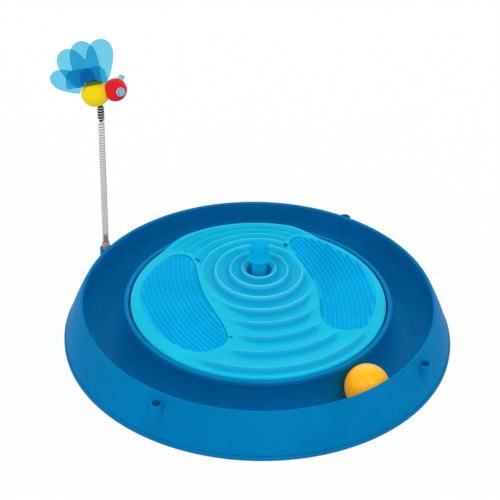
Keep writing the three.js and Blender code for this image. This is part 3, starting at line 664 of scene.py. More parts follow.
BLUE = moulded("blue_shell", (0.0004, 0.195, 0.45), (0.0006, 0.22, 0.51), (0.35, 0.5), shine=0.01)
CYAN = moulded("cyan_deck", (0.0006, 0.51, 0.73), (0.0008, 0.56, 0.79), (0.38, 0.5), 900.0, 0.04)
SOFT = moulded("soft_bristle", (0.0006, 0.47, 0.8), (0.0008, 0.53, 0.88), (0.45, 0.6), 700.0, 0.02)
# The ball's orange emission is a painted glow, not a lamp.
BALL = blown("ball_shell", (0.97, 0.44, 0.001), (0.99, 0.5, 0.002), (0.16, 0.24), (1.0, 0.3, 0.0), 0.3)
GREY = moulded("grey_plug", (0.36, 0.31, 0.27), (0.46, 0.4, 0.36), (0.38, 0.5))
BLACK = moulded("black_plug", (0.006, 0.005, 0.004), (0.012, 0.009, 0.008), (0.35, 0.5))
RUBBER = moulded("foot_rubber", (0.02, 0.022, 0.025), (0.03, 0.032, 0.036), (0.75, 0.9), grain=500.0)
EYE_WHITE = moulded("eye_white", (0.48, 0.57, 0.72), (0.58, 0.66, 0.8), (0.45, 0.6))
EYE_BLUE = moulded("eye_blue", (0.12, 0.59, 0.69), (0.15, 0.67, 0.75), (0.4, 0.55))
STEEL = metal("steel", (0.06, 0.05, 0.045), (0.1, 0.09, 0.08), (0.25, 0.4))
YELLOW_FELT = felt("yellow_felt", (0.95, 0.66, 0.002), (0.98, 0.75, 0.004))
RED_FELT = felt("red_felt", (0.78, 0.008, 0.012), (0.9, 0.016, 0.022))
FILM = tinted_film("wing_film", (0.13, 0.57, 0.77), (0.16, 0.6, 0.8), (0.02, 0.08))
# Painted shade: a deeper blue on the steep side of each ripple.
tint(CYAN, "shade", (0.0005, 0.39, 0.69))
# Painted highlight: a pale line along each ripple crest.
tint(CYAN, "crest", (0.15, 0.87, 0.97))
# Painted light: a paler film where it enters the body's groove, lifting the groove's shade.
tint(FILM, "root", (0.66, 0.77, 0.8))
# Painted highlight on the spring wire's grip turns and inner side; its outside keeps the dark steel as
# painted shade.
tint(STEEL, "painted_wire_highlight", (0.85, 0.84, 0.82))


# Base plate, wall and hub


def wall_outside(height):
    share = (height - WALL_FOOT_HEIGHT) / (RIM_HEIGHT - WALL_FOOT_HEIGHT)
    return WALL_FOOT_RADIUS - WALL_LEAN * share + 4 * WALL_BULGE * share * (1 - share)


def quarter_places(radius, first_azimuth=CORNER_AZIMUTH):
    """Four places on a circle, a quarter turn apart."""
    return [polar(radius, first_azimuth + 90 * i) for i in range(4)]


def track_side(height):
    """The radius of the track's side: a cove up from the floor, then a slow lean to the rim."""
    if height < COVE_TOP:
        share = (COVE_TOP - height) / COVE_HEIGHT
        return TRACK_SIDE - COVE_WIDTH * (1 - math.sqrt(max(0.0, 1 - share * share)))
    share = (height - COVE_TOP) / (RIM_HEIGHT - WALL_THICKNESS / 2 - COVE_TOP)
    return TRACK_SIDE + (RIM_INNER_RADIUS - TRACK_SIDE) * share * share


def base_plate():
    seam_back = track_side(SEAM_HEIGHT) + SEAM_WIDTH
    corners = [(BASE_RADIUS, 0), (BASE_RADIUS, BASE_EDGE_HEIGHT)]
    edge = rounded([(0, 0), *corners, (seam_back, BASE_EDGE_HEIGHT)], BASE_EDGE_ROUND)
    cove = []
    for share in np.linspace(1, 0, PROFILE_STEPS):
        height = FLOOR_TOP + (SEAM_HEIGHT - FLOOR_TOP) * share**2
        cove.append((track_side(height), height))
    step = [
        (HUB_WALL_RADIUS - HUB_WALL, FLOOR_TOP),
        (HUB_WALL_RADIUS - 2 * HUB_WALL, HUB_FLOOR_TOP),
        (0, HUB_FLOOR_TOP),
    ]
    profile = [*edge, (seam_back, SEAM_HEIGHT), *cove, *step]
    plate = turned("base_plate_skin", profile, BLUE, RING_SEGMENTS)
    for x, y in quarter_places(FOOT_CIRCLE):
        cut(plate, cylinder("recess", FOOT_RADIUS + GAP, BELOW_PLATE, FOOT_THICKNESS + GAP, x, y))
    for x, y in quarter_places(SCREW_CIRCLE):
        recess_top = SCREW_HEAD_HEIGHT + 2 * GAP
        cut(plate, cylinder("recess", SCREW_HEAD_RADIUS + GAP, BELOW_PLATE, recess_top, x, y))
        cut(plate, cylinder("hole", SCREW_HOLE_RADIUS, BELOW_PLATE, 2 * HUB_FLOOR_TOP, x, y))
    dress(plate, "base_plate", "base")


def liner(depth):
    """The liner's line at a depth behind the track's side, from its foot up to the hollow's top."""
    return [(track_side(z) + depth, z) for z in np.linspace(LINER_FOOT, HOLLOW_TOP, PROFILE_STEPS)]


def wall_profile():
    """An outer skirt and an inner liner that meet at the rim, with a hollow between them."""
    shoulder = RIM_HEIGHT - WALL_THICKNESS / 2
    outer = [(wall_outside(z), z) for z in np.linspace(WALL_FOOT_HEIGHT, shoulder, 22)]
    crown = []
    for i in range(1, 8):
        x, z = polar(WALL_THICKNESS / 2, 180 * i / 8)
        crown.append((wall_outside(shoulder) - WALL_THICKNESS / 2 + x, shoulder + z))
    inner = [(track_side(z), z) for z in np.linspace(shoulder, LINER_FOOT, 30)]
    downward = np.linspace(HOLLOW_TOP, WALL_FOOT_HEIGHT, PROFILE_STEPS)
    hollow = [(wall_outside(z) - WALL_THICKNESS, z) for z in downward]
    return [*outer, *crown, *inner, *liner(LINER_THICKNESS), *hollow, outer[0]]


def track_wall():
    """The wall with its mast sockets, which stand in the hollow."""
    wall = turned("track_wall_skin", wall_profile(), BLUE, RING_SEGMENTS)
    middle = liner(LINER_THICKNESS / 2)
    room = [(0, 0), (middle[0][0], 0), *middle, (0, HOLLOW_TOP)]
    boss_profile = post(SOCKET_BOSS_RADIUS, SOCKET_FOOT_HEIGHT, SOCKET_TOP, SOCKET_EDGE_ROUND)
    sockets = quarter_places(SOCKET_CIRCLE, FIRST_SOCKET_AZIMUTH)
    for x, y in sockets:
        boss = turned("boss", boss_profile, place=at(x, y, 0))
        cut(boss, turned("room", room, None, RING_SEGMENTS))
        join(wall, boss)
    for x, y in sockets:
        cut(wall, cylinder("hole", SOCKET_HOLE_RADIUS, SOCKET_TOP - SOCKET_DEPTH, 2 * RIM_HEIGHT, x, y))
    dress(wall, "track_wall", "base")


def hub_cove(foot):
    """The hub's outside, curving from its upright wall out to the edge of its flange."""
    cove = []
    for angle in np.linspace(90, 0, 16):
        inward, drop = polar(1, angle)
        radius = FLANGE_RADIUS - (FLANGE_RADIUS - HUB_WALL_RADIUS) * inward
        cove.append((radius, HUB_COVE_TOP - (HUB_COVE_TOP - foot) * drop))
    return cove


def centre_hub():
    flange_foot = FLOOR_TOP + GAP
    lip_foot = LIP_TOP - LIP_HEIGHT
    shell_top = CHAMBER_FLOOR - CHAMBER_FLOOR_THICKNESS
    inside = HUB_WALL_RADIUS - HUB_WALL
    chamber = RECESS_RADIUS - LEDGE_WIDTH
    outline = [
        (0, shell_top),
        (inside, shell_top),
        (inside, flange_foot),
        (FLANGE_RADIUS, flange_foot),
        *hub_cove(flange_foot + SEAM_GAP),
        (RECESS_RADIUS + HUB_WALL, lip_foot),
        (LIP_RADIUS, lip_foot),
        (LIP_RADIUS, LIP_TOP),
        (RECESS_RADIUS, LIP_TOP),
        (RECESS_RADIUS, LEDGE_HEIGHT),
        (chamber, LEDGE_HEIGHT),
        (chamber, CHAMBER_FLOOR),
        (0, CHAMBER_FLOOR),
    ]
    hub = turned("centre_hub_skin", rounded(outline, HUB_EDGE_ROUND), BLUE, RING_SEGMENTS)
    dress(hub, "centre_hub", "base")


# Massage disc


def zone_outline(arc, inner_edge, grow=0.0):
    azimuths = np.linspace(*arc, 48)
    on_arc = [(x, y + ZONE_ARC_Y) for x, y in (polar(ZONE_ARC_RADIUS, a) for a in azimuths)]
    inner = spline([on_arc[-1], *inner_edge, on_arc[0]], 8)[1:-1]
    outline = np.array([*on_arc, *inner])
    run = np.roll(outline, -1, 0) - np.roll(outline, 1, 0)
    run /= np.linalg.norm(run, axis=1, keepdims=True)
    return outline + grow * np.stack([run[:, 1], -run[:, 0]], -1)


ZONES = {"left": (LEFT_ARC, LEFT_INNER_EDGE), "right": (RIGHT_ARC, RIGHT_INNER_EDGE)}


def inside_zone(outline, x, y):
    result = np.zeros(np.shape(x), bool)
    for (ax, ay), (bx, by) in zip(outline, np.roll(outline, 1, 0)):
        if ay == by:
            continue
        crosses = (ay > y) != (by > y)
        result ^= crosses & (x < ax + (bx - ax) * (y - ay) / (by - ay))
    return result


def zone_distance(outline, x, y):
    best = np.full(np.shape(x), np.inf)
    for a, b in zip(outline, np.roll(outline, 1, 0)):
        run = b - a
        share = np.clip(((x - a[0]) * run[0] + (y - a[1]) * run[1]) / (run @ run), 0, 1)
        best = np.minimum(best, np.hypot(x - a[0] - share * run[0], y - a[1] - share * run[1]))
    return best


def band_height(y):
    """The height of the band that climbs from the front of the disc to the back."""
    return DISC_EDGE_HEIGHT + BAND_RISE * smooth(y, *BAND_Y)


def deck_height(x, y):
    """The disc's smooth surface: the band, brought down to a level edge except at the back."""
    azimuth = np.degrees(np.arctan2(y, x))
    fade = RAISED_EDGE_FADE
    raised = smooth(azimuth, RAISED_EDGE[0] - fade, RAISED_EDGE[0] + fade)
    raised = raised * (1 - smooth(azimuth, RAISED_EDGE[1] - fade, RAISED_EDGE[1] + fade))
    edge = smooth(np.hypot(x, y), DISC_RADIUS - EDGE_FADE_WIDTH, DISC_RADIUS)
    return DISC_EDGE_HEIGHT + (band_height(y) - DISC_EDGE_HEIGHT) * (1 - edge * (1 - raised))


def ripple_strength(x, y):
    """Ripples die out towards the bristle zones, and the disc's edge beside the zones is plain."""
    radius = np.hypot(x, y)
    azimuth = np.degrees(np.arctan2(y, x))
    start, end = RIPPLE_END_MARGIN
    strength = 1 - smooth(radius, DISC_RADIUS - start, DISC_RADIUS - end)
    front = 1 - smooth(y, *FRONT_FADE_Y)
    outer = front * smooth(ring_through(x, y), *INNER_RINGS)
    for side, (arc, inner_edge) in ZONES.items():
        outline = zone_outline(arc, inner_edge)
        near = zone_distance(outline, x, y) / (RIPPLE_FADE + FRONT_FADE[side] * outer)
        strength = strength * np.where(inside_zone(outline, x, y), 0, smooth(near, 0, 1))
    inside, outside = PLAIN_EDGE_FADE
    for first, last in PLAIN_EDGES:
        away = np.abs((azimuth - (first + last) / 2 + 180) % 360 - 180)
        reach = (last - first) / 2
        beside = 1 - smooth(away, reach - inside, reach + outside)
        strength = strength * (1 - beside * smooth(radius, *PLAIN_EDGE_RADIUS))
    return strength


def ripple_crests():
    return [CRATER_CREST, *np.arange(FIRST_CREST, DISC_RADIUS - RIPPLE_PITCH / 2, RIPPLE_PITCH)]


def ripple_wave(radius):
    """From 1 at a crest to -1 in a round trough: a steep fall outside each crest, then a slow rise."""
    crests = np.array([*ripple_crests(), ripple_crests()[-1] + RIPPLE_PITCH])
    index = np.clip(np.searchsorted(crests, radius, side="right") - 1, 0, len(crests) - 2)
    crest, following = crests[index], crests[index + 1]
    trough = crest + np.where(index == 0, 0.5, STEEP_SHARE) * (following - crest)
    reach = np.where(radius < trough, trough - crest, following - trough)
    bowl = 2 * (radius / CRATER_CREST) ** 4 - 1
    return np.where(radius < CRATER_CREST, bowl, 2 * ((radius - trough) / reach) ** 2 - 1)


def ripple_lift(radius):
    """How far a ripple stands above the smooth deck; troughs grow shallower away from the crater."""
    share = smooth(radius, CRATER_CREST, DISC_RADIUS)
    depth = INNER_TROUGH_DEPTH + (OUTER_TROUGH_DEPTH - INNER_TROUGH_DEPTH) * share
    return CREST_HEIGHT - (CREST_HEIGHT + depth) * (1 - ripple_wave(radius)) / 2


def ring_centre(radius):
    return CRATER_Y * (1 - (radius / DISC_RADIUS) ** 2)


def ring_through(x, y):
    """The radius of the ripple circle that passes through a place."""
    low, high = np.zeros(np.shape(x)), np.full(np.shape(x), 2 * DISC_RADIUS)
    for _ in range(30):
        middle = (low + high) / 2
        outside = np.hypot(x, y - ring_centre(middle)) > middle
        low = np.where(outside, middle, low)
        high = np.where(outside, high, middle)
    return (low + high) / 2


def crest_bead_and_highlight(x, y):
    """1 on the line of a ripple crest, less on the outer ripples, 0 away from it; it raises a small
    bead there and marks a painted highlight along the crest.
    """
    radius = ring_through(x, y)
    near = np.min([np.abs(radius - crest) for crest in ripple_crests()], axis=0)
    fade = 1 - CREST_FADE * smooth(radius, *SHADE_RINGS)
    return np.exp(-((near / CREST_WIDTH) ** 2)) * fade * ripple_strength(x, y)


def painted_shade_share(x, y):
    """Painted shade: 1 on the steep side of a ripple, 0 before the next crest; narrower where the
    ripple dies out.
    """
    radius = ring_through(x, y)
    crests = np.array([0, *ripple_crests(), 2 * DISC_RADIUS])
    index = np.searchsorted(crests, radius, side="right") - 1
    along = (radius - crests[index]) / np.minimum(RIPPLE_PITCH, crests[index + 1] - crests[index])
    inner, outer = SHADE_SHARE
    reach = inner + (outer - inner) * smooth(radius, *SHADE_RINGS)
    strength = ripple_strength(x, y)
    along /= np.maximum(reach * strength, TINY)
    return smooth(strength, 0, FULL_SHADE_STRENGTH) * (1 - smooth(along, SHADE_START, 1))


def ripple_ring(radius):
    turn = 2 * math.pi * np.arange(DISC_SEGMENTS) / DISC_SEGMENTS
    return radius * np.cos(turn), ring_centre(radius) + radius * np.sin(turn)


def ring_points(x, y, height):
    return np.stack([x, y, np.broadcast_to(height, x.shape)], -1)


def face_rings():
    """The rippled face: rings close together on each crest line, and even steps between."""
    across = CREST_WIDTH * np.linspace(-1, 1, 5)
    lines = [crest + step for crest in ripple_crests() for step in across]
    steps = np.arange(*RING_RANGE, RING_STEP)
    plain = [radius for radius in steps if min(abs(radius - line) for line in lines) > RING_SPACE]
    rings = []
    for radius in sorted([*lines, *plain]):
        x, y = ripple_ring(radius)
        z = deck_height(x, y) + ripple_lift(radius) * ripple_strength(x, y)
        rings.append(ring_points(x, y, z + CREST_BEAD * crest_bead_and_highlight(x, y)))
    return rings


def edge_rings():
    """The disc's rounded edge, its skirt and the underside of its deck."""
    rings = []
    for turn in np.linspace(0, math.pi / 2, 6):
        x, y = ripple_ring(DISC_RADIUS - DISC_EDGE_ROUND * (1 - math.sin(turn)))
        rings.append(ring_points(x, y, deck_height(x, y) - DISC_EDGE_ROUND * (1 - math.cos(turn))))
    skirt_inside = DISC_RADIUS - DISC_SKIRT_WIDTH
    for radius in (DISC_RADIUS, skirt_inside):
        rings.append(ring_points(*ripple_ring(radius), LEDGE_HEIGHT + GAP))
    for share in (1, 0.75, 0.5, 0.25, 0.1):
        x, y = ripple_ring(skirt_inside * share)
        rings.append(ring_points(x, y, deck_height(x, y) - DECK_THICKNESS))
    return rings


def massage_disc():
    rings = [*face_rings(), *edge_rings()]
    disc = skin("massage_disc_skin", rings[::-1], CYAN)
    tray_top = DISC_EDGE_HEIGHT - DECK_THICKNESS / 2
    for arc, inner_edge in ZONES.values():
        tray = zone_outline(arc, inner_edge, ZONE_TRAY_WALL)
        join(disc, prism("tray", tray, ZONE_FLOOR - ZONE_TRAY_WALL, tray_top))
        cut(disc, prism("pocket", zone_outline(arc, inner_edge), ZONE_FLOOR, 2 * RIM_HEIGHT))
    crater = (0, CRATER_Y, CRATER_SEGMENTS)
    cup_foot = CRATER_FLOOR - CRATER_WALL
    join(disc, cylinder("cup", CRATER_RADIUS + CRATER_WALL, cup_foot, DISC_EDGE_HEIGHT, *crater))
    cut(disc, cylinder("crater", CRATER_RADIUS, CRATER_FLOOR, 2 * RIM_HEIGHT, *crater))
    for x, y, radius in VENTS:
        cut(disc, cylinder("vent", radius, LEDGE_HEIGHT, 2 * RIM_HEIGHT, x, y))
    # Marks where the crests' painted highlight lies.
    mark(disc, "crest", lambda places: crest_bead_and_highlight(*places.T[:2]))
    # Marks where the ripples' painted shade falls.
    mark(disc, "shade", lambda places: painted_shade_share(*places.T[:2]))
    dress(disc, "massage_disc", "massager")


def bristle_places(side):
    """Places in curved rows across a zone, those of each row midway between those of the last."""
    outline = zone_outline(*ZONES[side])
    x0, y0 = ROW_CENTRES[side]
    far = math.hypot(x0, y0) + DISC_RADIUS
    places = []
    for row, radius in enumerate(np.arange(FIRST_ROW[side], far, ROW_PITCH)):
        step = math.degrees(BRISTLE_PITCH / radius)
        for azimuth in np.arange(step / 2 * (row % 2), 360, step):
            x, y = polar(radius, azimuth)
            places.append((x0 + x, y0 + y))
    places = np.array(places)
    kept = inside_zone(outline, *places.T)
    kept &= zone_distance(outline, *places.T) > BRISTLE_MARGIN
    return places[kept]


def bristle_pad(side):
    outline = zone_outline(*ZONES[side], -GAP)
    points, faces = [], []
    foot = [(x, y, ZONE_FLOOR + GAP) for x, y in outline]
    top = [(x, y, band_height(y) - BRISTLE_LENGTH) for x, y in outline]
    add_skin(points, faces, [foot, top])
    for x, y in bristle_places(side):
        tip = band_height(y) + BRISTLE_SHOW
        profile = [(BRISTLE_BASE, tip - BRISTLE_SHOW - BRISTLE_LENGTH - GAP)]
        profile += [(BRISTLE_TIP * share, tip - drop) for share, drop in BRISTLE_END]
        rings = []
        for radius, z in profile:
            rings.append([(x + dx, y + dy, z) for dx, dy in circle(radius, BRISTLE_SIDES)])
        add_skin(points, faces, rings)
    pad = new_object(f"{side}_bristles", points, faces, SOFT, SOFT_SHARP_ANGLE)
    dress(pad, f"{side}_bristle_pad", "massager")


def bell_profile(steps):
    """(radius, height) points down the nub's bell, from its top to its foot."""
    shoulder = NUB_TOP - NUB_DOME_RADIUS
    dome = []
    for angle in np.linspace(NUB_POLE_ANGLE, 0, steps):
        radius, rise = polar(NUB_DOME_RADIUS, angle)
        dome.append((radius, shoulder + rise))
    flare = []
    for share in np.linspace(1, 0, steps)[1:]:
        radius = NUB_DOME_RADIUS + (NUB_BELL_RADIUS - NUB_DOME_RADIUS) * (1 - share) ** 2
        flare.append((radius, NUB_BELL_FOOT + (shoulder - NUB_BELL_FOOT) * share))
    return np.array([*dome, *flare])


def nub_ring(radius, height, rib_depth=0.0):
    segments = 6 * NUB_RIB_COUNT
    turn = 2 * math.pi * np.arange(segments) / segments
    ribbed = radius - rib_depth * (0.5 - 0.5 * np.cos(turn * NUB_RIB_COUNT))
    x, y = ribbed * np.cos(turn), CRATER_Y + ribbed * np.sin(turn)
    return ring_points(x, y, height)


def add_nub_bumps(points, faces):
    """Small soft bumps spread evenly over the bell, down to near its foot."""
    profile = bell_profile(60)
    profile = profile[profile[:, 1] > NUB_BUMP_FOOT]
    run = np.diff(profile, axis=0)
    middle = (profile[1:] + profile[:-1]) / 2
    area = np.cumsum(middle[:, 0] * np.linalg.norm(run, axis=1))
    golden_angle = 180 * (3 - math.sqrt(5))
    for i in range(NUB_BUMP_COUNT):
        index = np.searchsorted(area, area[-1] * (i + 0.5) / NUB_BUMP_COUNT)
        x, y = polar(1, golden_angle * i)
        widen, climb = run[index]
        out = Vector((-climb * x, -climb * y, widen)).normalized()
        radius, height = middle[index]
        centre = Vector((radius * x, CRATER_Y + radius * y, height)) - out * NUB_BUMP_SINK
        turn = out.to_track_quat("Z", "Y").to_matrix()
        rings = []
        for angle in NUB_BUMP_ANGLES:
            width, rise = polar(NUB_BUMP_RADIUS, angle)
            ring = circle(width, BRISTLE_SIDES)
            rings.append([centre + turn @ Vector((dx, dy, rise)) for dx, dy in ring])
        add_skin(points, faces, rings)


def centre_nub():
    rings = [nub_ring(NUB_STEM_RADIUS, z, NUB_RIB_DEPTH) for z in (CRATER_FLOOR + GAP, NUB_BELL_FOOT)]
    rings += [nub_ring(radius, height) for radius, height in reversed(bell_profile(14))]
    points, faces = [], []
    add_skin(points, faces, rings)
    add_nub_bumps(points, faces)
    nub = new_object("centre_nub_body", points, faces, SOFT, SOFT_SHARP_ANGLE)
    dress(nub, "centre_nub", "massager")


# Ball


def ball_half(name, side):
    arc = []
    for turn in np.linspace(0, BALL_ARC_END, 17):
        rise = BALL_SEAM + (BALL_RADIUS - BALL_SEAM) * math.sin(turn)
        arc.append((BALL_RADIUS * math.cos(turn), rise))
    profile = [(0, BALL_SEAM), *arc, (0, BALL_RADIUS)]
    if side < 0:
        profile = [(radius, -height) for radius, height in reversed(profile)]
    place = at(*polar(BALL_ORBIT_RADIUS, BALL_AZIMUTH), BALL_HEIGHT)
    half = turned(f"{name}_skin", profile, BALL, BALL_SEGMENTS, place)
    dress(half, name, "ball")


# Spring mast

MAST_X, MAST_Y = polar(SOCKET_CIRCLE, MAST_AZIMUTH)
MAST = at(MAST_X, MAST_Y, 0)


def spring_foot():
    low = SOCKET_TOP - SOCKET_DEPTH + GAP
    barrel = SOCKET_HOLE_RADIUS - GAP
    outline = [
        (0, low),
        (barrel - FOOT_CHAMFER, low),
        (barrel, low + FOOT_CHAMFER),
        (barrel, SOCKET_TOP - FOOT_CHAMFER),
        (FOOT_NECK_RADIUS, SOCKET_TOP),
        (FOOT_NECK_RADIUS, FOOT_FLANGE_FOOT),
        (FOOT_FLANGE_RADIUS, FOOT_FLANGE_FOOT),
        (FOOT_FLANGE_RADIUS, FOOT_FLANGE_TOP),
        (CORE_RADIUS, FOOT_FLANGE_TOP),
        (CORE_RADIUS, FOOT_FLANGE_TOP + SPIGOT_LENGTH),
        (0, FOOT_FLANGE_TOP + SPIGOT_LENGTH),
    ]
    foot = turned("spring_foot_body", rounded(outline, FOOT_EDGE_ROUND), GREY, place=MAST)
    for x, y in quarter_places(FOOT_GROOVE_CIRCLE):
        cut(foot, cylinder("groove", FOOT_GROOVE_RADIUS, *FOOT_GROOVE_HEIGHT, x, y, 12, MAST))
    dress(foot, "spring_foot", "mast")


def spring_pitch():
    return (SPRING_TOP_HEIGHT - SPRING_FOOT_HEIGHT - 4 * WIRE_RADIUS) / SPRING_TURNS


def wire_highlight_share(places):
    """Painted highlight: 1 on the turns that grip the plug and on the inside of the others, 0 on their
    outside, where the dark steel stands as painted shade.
    """
    grip = BEE_SEAT_HEIGHT - PLUG_LENGTH
    radius = np.hypot(places[:, 0] - MAST_X, places[:, 1] - MAST_Y)
    inner = 1 - smooth(radius, COIL_RADIUS - BRIGHT_DEPTH, COIL_RADIUS)
    return np.maximum(inner, smooth(places[:, 2], grip, grip + BRIGHT_RISE))


def spring():
    coil = helix(COIL_RADIUS, SPRING_FOOT_HEIGHT + 2 * WIRE_RADIUS, SPRING_TURNS, spring_pitch())
    first, last = coil[0].copy(), coil[-1].copy()
    first[2], last[2] = SPRING_FOOT_HEIGHT, SPRING_TOP_HEIGHT
    path = [first, *coil, last]
    wire = skin("spring_wire", tube(path, WIRE_RADIUS), STEEL, WIRE_SHARP_ANGLE, MAST)
    # Marks where the wire's painted highlight lies.
    mark(wire, "painted_wire_highlight", wire_highlight_share)
    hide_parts("spring")
    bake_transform(wire)


def spring_plug():
    low = BEE_SEAT_HEIGHT - PLUG_LENGTH
    profile = post(CORE_RADIUS, low, BEE_SEAT_HEIGHT + PLUG_SINK - GAP, PLUG_EDGE_ROUND)
    plug = turned("spring_plug_core", profile, BLACK, PLUG_SEGMENTS, MAST)
    pitch = spring_pitch()
    start_turn = math.ceil((low - SPRING_FOOT_HEIGHT) / pitch) + 0.5
    start = SPRING_FOOT_HEIGHT + 2 * WIRE_RADIUS + start_turn * pitch
    turns = (SPRING_TOP_HEIGHT - start) / pitch
    path = helix(THREAD_CIRCLE, start, turns, pitch)
    join(plug, skin("thread", tube(path, THREAD_RADIUS), BLACK, WIRE_SHARP_ANGLE, MAST))
    dress(plug, "spring_plug", "bee")


# Bee

BODY_TILT = Matrix.Rotation(-math.radians(BEE_PITCH), 4, "Y")
BODY_PLACE = MAST @ at(BODY_X, 0, BODY_Z) @ BODY_TILT
HEAD_PLACE = MAST @ at(HEAD_X, 0, HEAD_Z)


def grown_body(grow):
    return ellipsoid("body_room", [half + grow for half in BODY_HALF], BODY_PLACE)


def bee_body():
    body = ellipsoid("bee_body_felt", BODY_HALF, BODY_PLACE, YELLOW_FELT, 96, 56)
    half = GROOVE_WIDTH / 2
    low = (-GROOVE_REACH, GROOVE_Y - half, GROOVE_FLOOR)
    high = (GROOVE_REACH, GROOVE_Y + half, GROOVE_REACH)
    cut(body, box("groove", low, high, BODY_PLACE))
    seat_radius = COIL_RADIUS + WIRE_RADIUS + SPRING_SEAT_PLAY
    cut(body, cylinder("seat", seat_radius, BODY_CUT_FOOT, BEE_SEAT_HEIGHT, place=MAST))
    hole_top = BEE_SEAT_HEIGHT + PLUG_SINK
    cut(body, cylinder("hole", CORE_RADIUS + GAP, BODY_CUT_FOOT, hole_top, place=MAST))
    dress(body, "bee_body", "bee")


def eye_place(side):
    level, up = polar(1, EYE_RAISE[side])
    across, forward = polar(level, EYE_FORWARD[side])
    look = Vector((forward, across if side == "left" else -across, up))
    turn = look.to_track_quat("Z", "Y").to_matrix().to_4x4()
    return HEAD_PLACE @ turn


def bee_head():
    head = ellipsoid("bee_head_felt", (HEAD_RADIUS,) * 3, HEAD_PLACE, RED_FELT, 80, 48)
    cut(head, grown_body(GAP))
    outside = 2 * HEAD_RADIUS
    for side in EYE_RAISE:
        place = eye_place(side)
        cut(head, cylinder("seat", EYE_RING_RADIUS + GAP, EYE_SEAT, outside, place=place))
        cut(head, cylinder("hole", EYE_PEG_RADIUS + GAP, EYE_SEAT - EYE_PEG_SINK, outside, place=place))
    dress(head, "bee_head", "bee")


def eye(side):
    low = EYE_SEAT + GAP
    top = low + EYE_RING_HEIGHT
    hole = EYE_PEG_RADIUS + GAP
    middle = (hole + EYE_RING_RADIUS) / 2
    section = [(EYE_RING_RADIUS, low), (EYE_RING_RADIUS, top), (hole, top), (hole, low)]
    ring_profile = rounded([(middle, low), *section, (middle, low)], EYE_RING_ROUND)
    ring = turned(f"{side}_eye_ring_pad", ring_profile, EYE_WHITE, place=eye_place(side))
    dress(ring, f"{side}_eye_ring", "bee")
    foot = EYE_SEAT - EYE_PEG_SINK + GAP
    peg_profile = post(EYE_PEG_RADIUS, foot, EYE_PEG_TOP, EYE_PEG_ROUND)
    peg = turned(f"{side}_eye_peg_body", peg_profile, EYE_BLUE, place=eye_place(side))
    dress(peg, f"{side}_eye_peg", "bee")


def bezier(a, b, c, d):
    t = np.linspace(0, 1, LOBE_STEPS, endpoint=False)[:, None]
    return a * (1 - t) ** 3 + 3 * b * t * (1 - t) ** 2 + 3 * c * t * t * (1 - t) + d * t**3


def lobe(name, root, angle, length, width, place):
    size = np.array((width / 2, length))
    left = [bezier(*(np.array(curve) * size)) for curve in LOBE_SIDE]
    outline = np.concatenate([*left, [(0, length)]])
    mirrored = outline[-2::-1] * (-1, 1)
    outline = np.concatenate([outline, mirrored])[::-1]
    c, s = polar(1, angle)
    outline = np.stack([outline @ (c, -s) + root, outline @ (s, c)], -1)
    return prism(name, outline, -FILM_THICKNESS / 2, FILM_THICKNESS / 2, place, FILM)


def flap(name, low, high, rise, place):
    """A short fold of film that lies on the near side of a wing's root."""
    turn = np.linspace(0, math.pi, 33)
    across = np.sign(np.cos(turn)) * np.abs(np.cos(turn)) ** FLAP_SQUARENESS
    x = (low + high) / 2 + (high - low) / 2 * across
    y = rise * np.abs(np.sin(turn)) ** FLAP_SQUARENESS
    return prism(name, np.stack([x, y], -1), FLAP_GAP, FLAP_GAP + FILM_THICKNESS / 2, place, FILM)


def divide(film, place, lines):
    """Adds edges along lines across a film, each given as its axis and distance."""
    mesh = bmesh.new()
    mesh.from_mesh(film.data)
    for axis, distance in lines:
        across = Vector((0, 0, 0))
        across[axis] = 1
        on_line = place @ (across * distance * MM)
        parts = [*mesh.verts, *mesh.edges, *mesh.faces]
        bmesh.ops.bisect_plane(mesh, geom=parts, plane_co=on_line, plane_no=place.to_3x3() @ across)
    mesh.to_mesh(film.data)
    mesh.free()


def root_painted_light_share(places, to_film):
    """1 where a film is fixed to the bee's body, 0 on the free film; there the paler tint is painted
    light that lifts the shade of the groove seen through the film.
    """
    across = np.abs(places @ to_film[0, :3] + to_film[0, 3] / MM)
    along = places @ to_film[1, :3] + to_film[1, 3] / MM
    return (1 - smooth(along, *CLEAR_HEIGHT)) * (1 - smooth(across, *CLEAR_HALF_WIDTH))


def wing(side):
    facts = WINGS[side]
    place = BODY_PLACE @ at(0, facts["y"], WING_PIVOT_Z)
    place = place @ Matrix.Rotation(math.radians(90 - facts["lean"]), 4, "X")
    front, rear = (lobe(f"{side}_wing", *numbers, place) for numbers in facts["lobes"])
    join(front, rear)
    join(front, flap("flap", *facts["flap"], place))
    cut(front, grown_body(FILM_BODY_PLAY))
    low = (-CUT_REACH, -CUT_REACH, -CUT_DEPTH)
    cut(front, box("below", low, (CUT_REACH, facts["low"], CUT_DEPTH), place))
    width, rise = FILM_TAB
    half_film = FILM_THICKNESS / 2
    tab = box("tab", (-width / 2, -FILM_DROP, -half_film), (width / 2, rise, half_film), place)
    join(front, tab)
    divide(front, place, [(0, sign * x) for sign in (-1, 1) for x in CLEAR_HALF_WIDTH])
    divide(front, place, [(1, y) for y in CLEAR_HEIGHT])
    # Marks the film's root for its painted light.
    mark(front, "root", lambda places: root_painted_light_share(places, np.array(place.inverted())))
    front.name = f"{side}_wing_sheet"
    dress(front, f"{side}_wing_film", f"{side}_wing")


# Stage


def camera():
    data = bpy.data.cameras.new("camera")
    data.lens = CAMERA_LENS
    data.sensor_width = SENSOR_WIDTH
    data.clip_start, data.clip_end = CLIP_RANGE
    made = in_scene("camera", data)
    place, target = Vector(CAMERA_PLACE) * MM, Vector(CAMERA_TARGET) * MM
    forward = (target - place).normalized()
    right = forward.cross(Vector((0, 0, 1))).normalized()
    up = right.cross(forward)
    c, s = polar(1, CAMERA_ROLL)
    right, up = right * c + up * s, up * c - right * s
    rotation = Matrix((right, up, -forward)).transposed().to_4x4()
    made.matrix_world = Matrix.Translation(place) @ rotation
    bpy.context.scene.camera = made


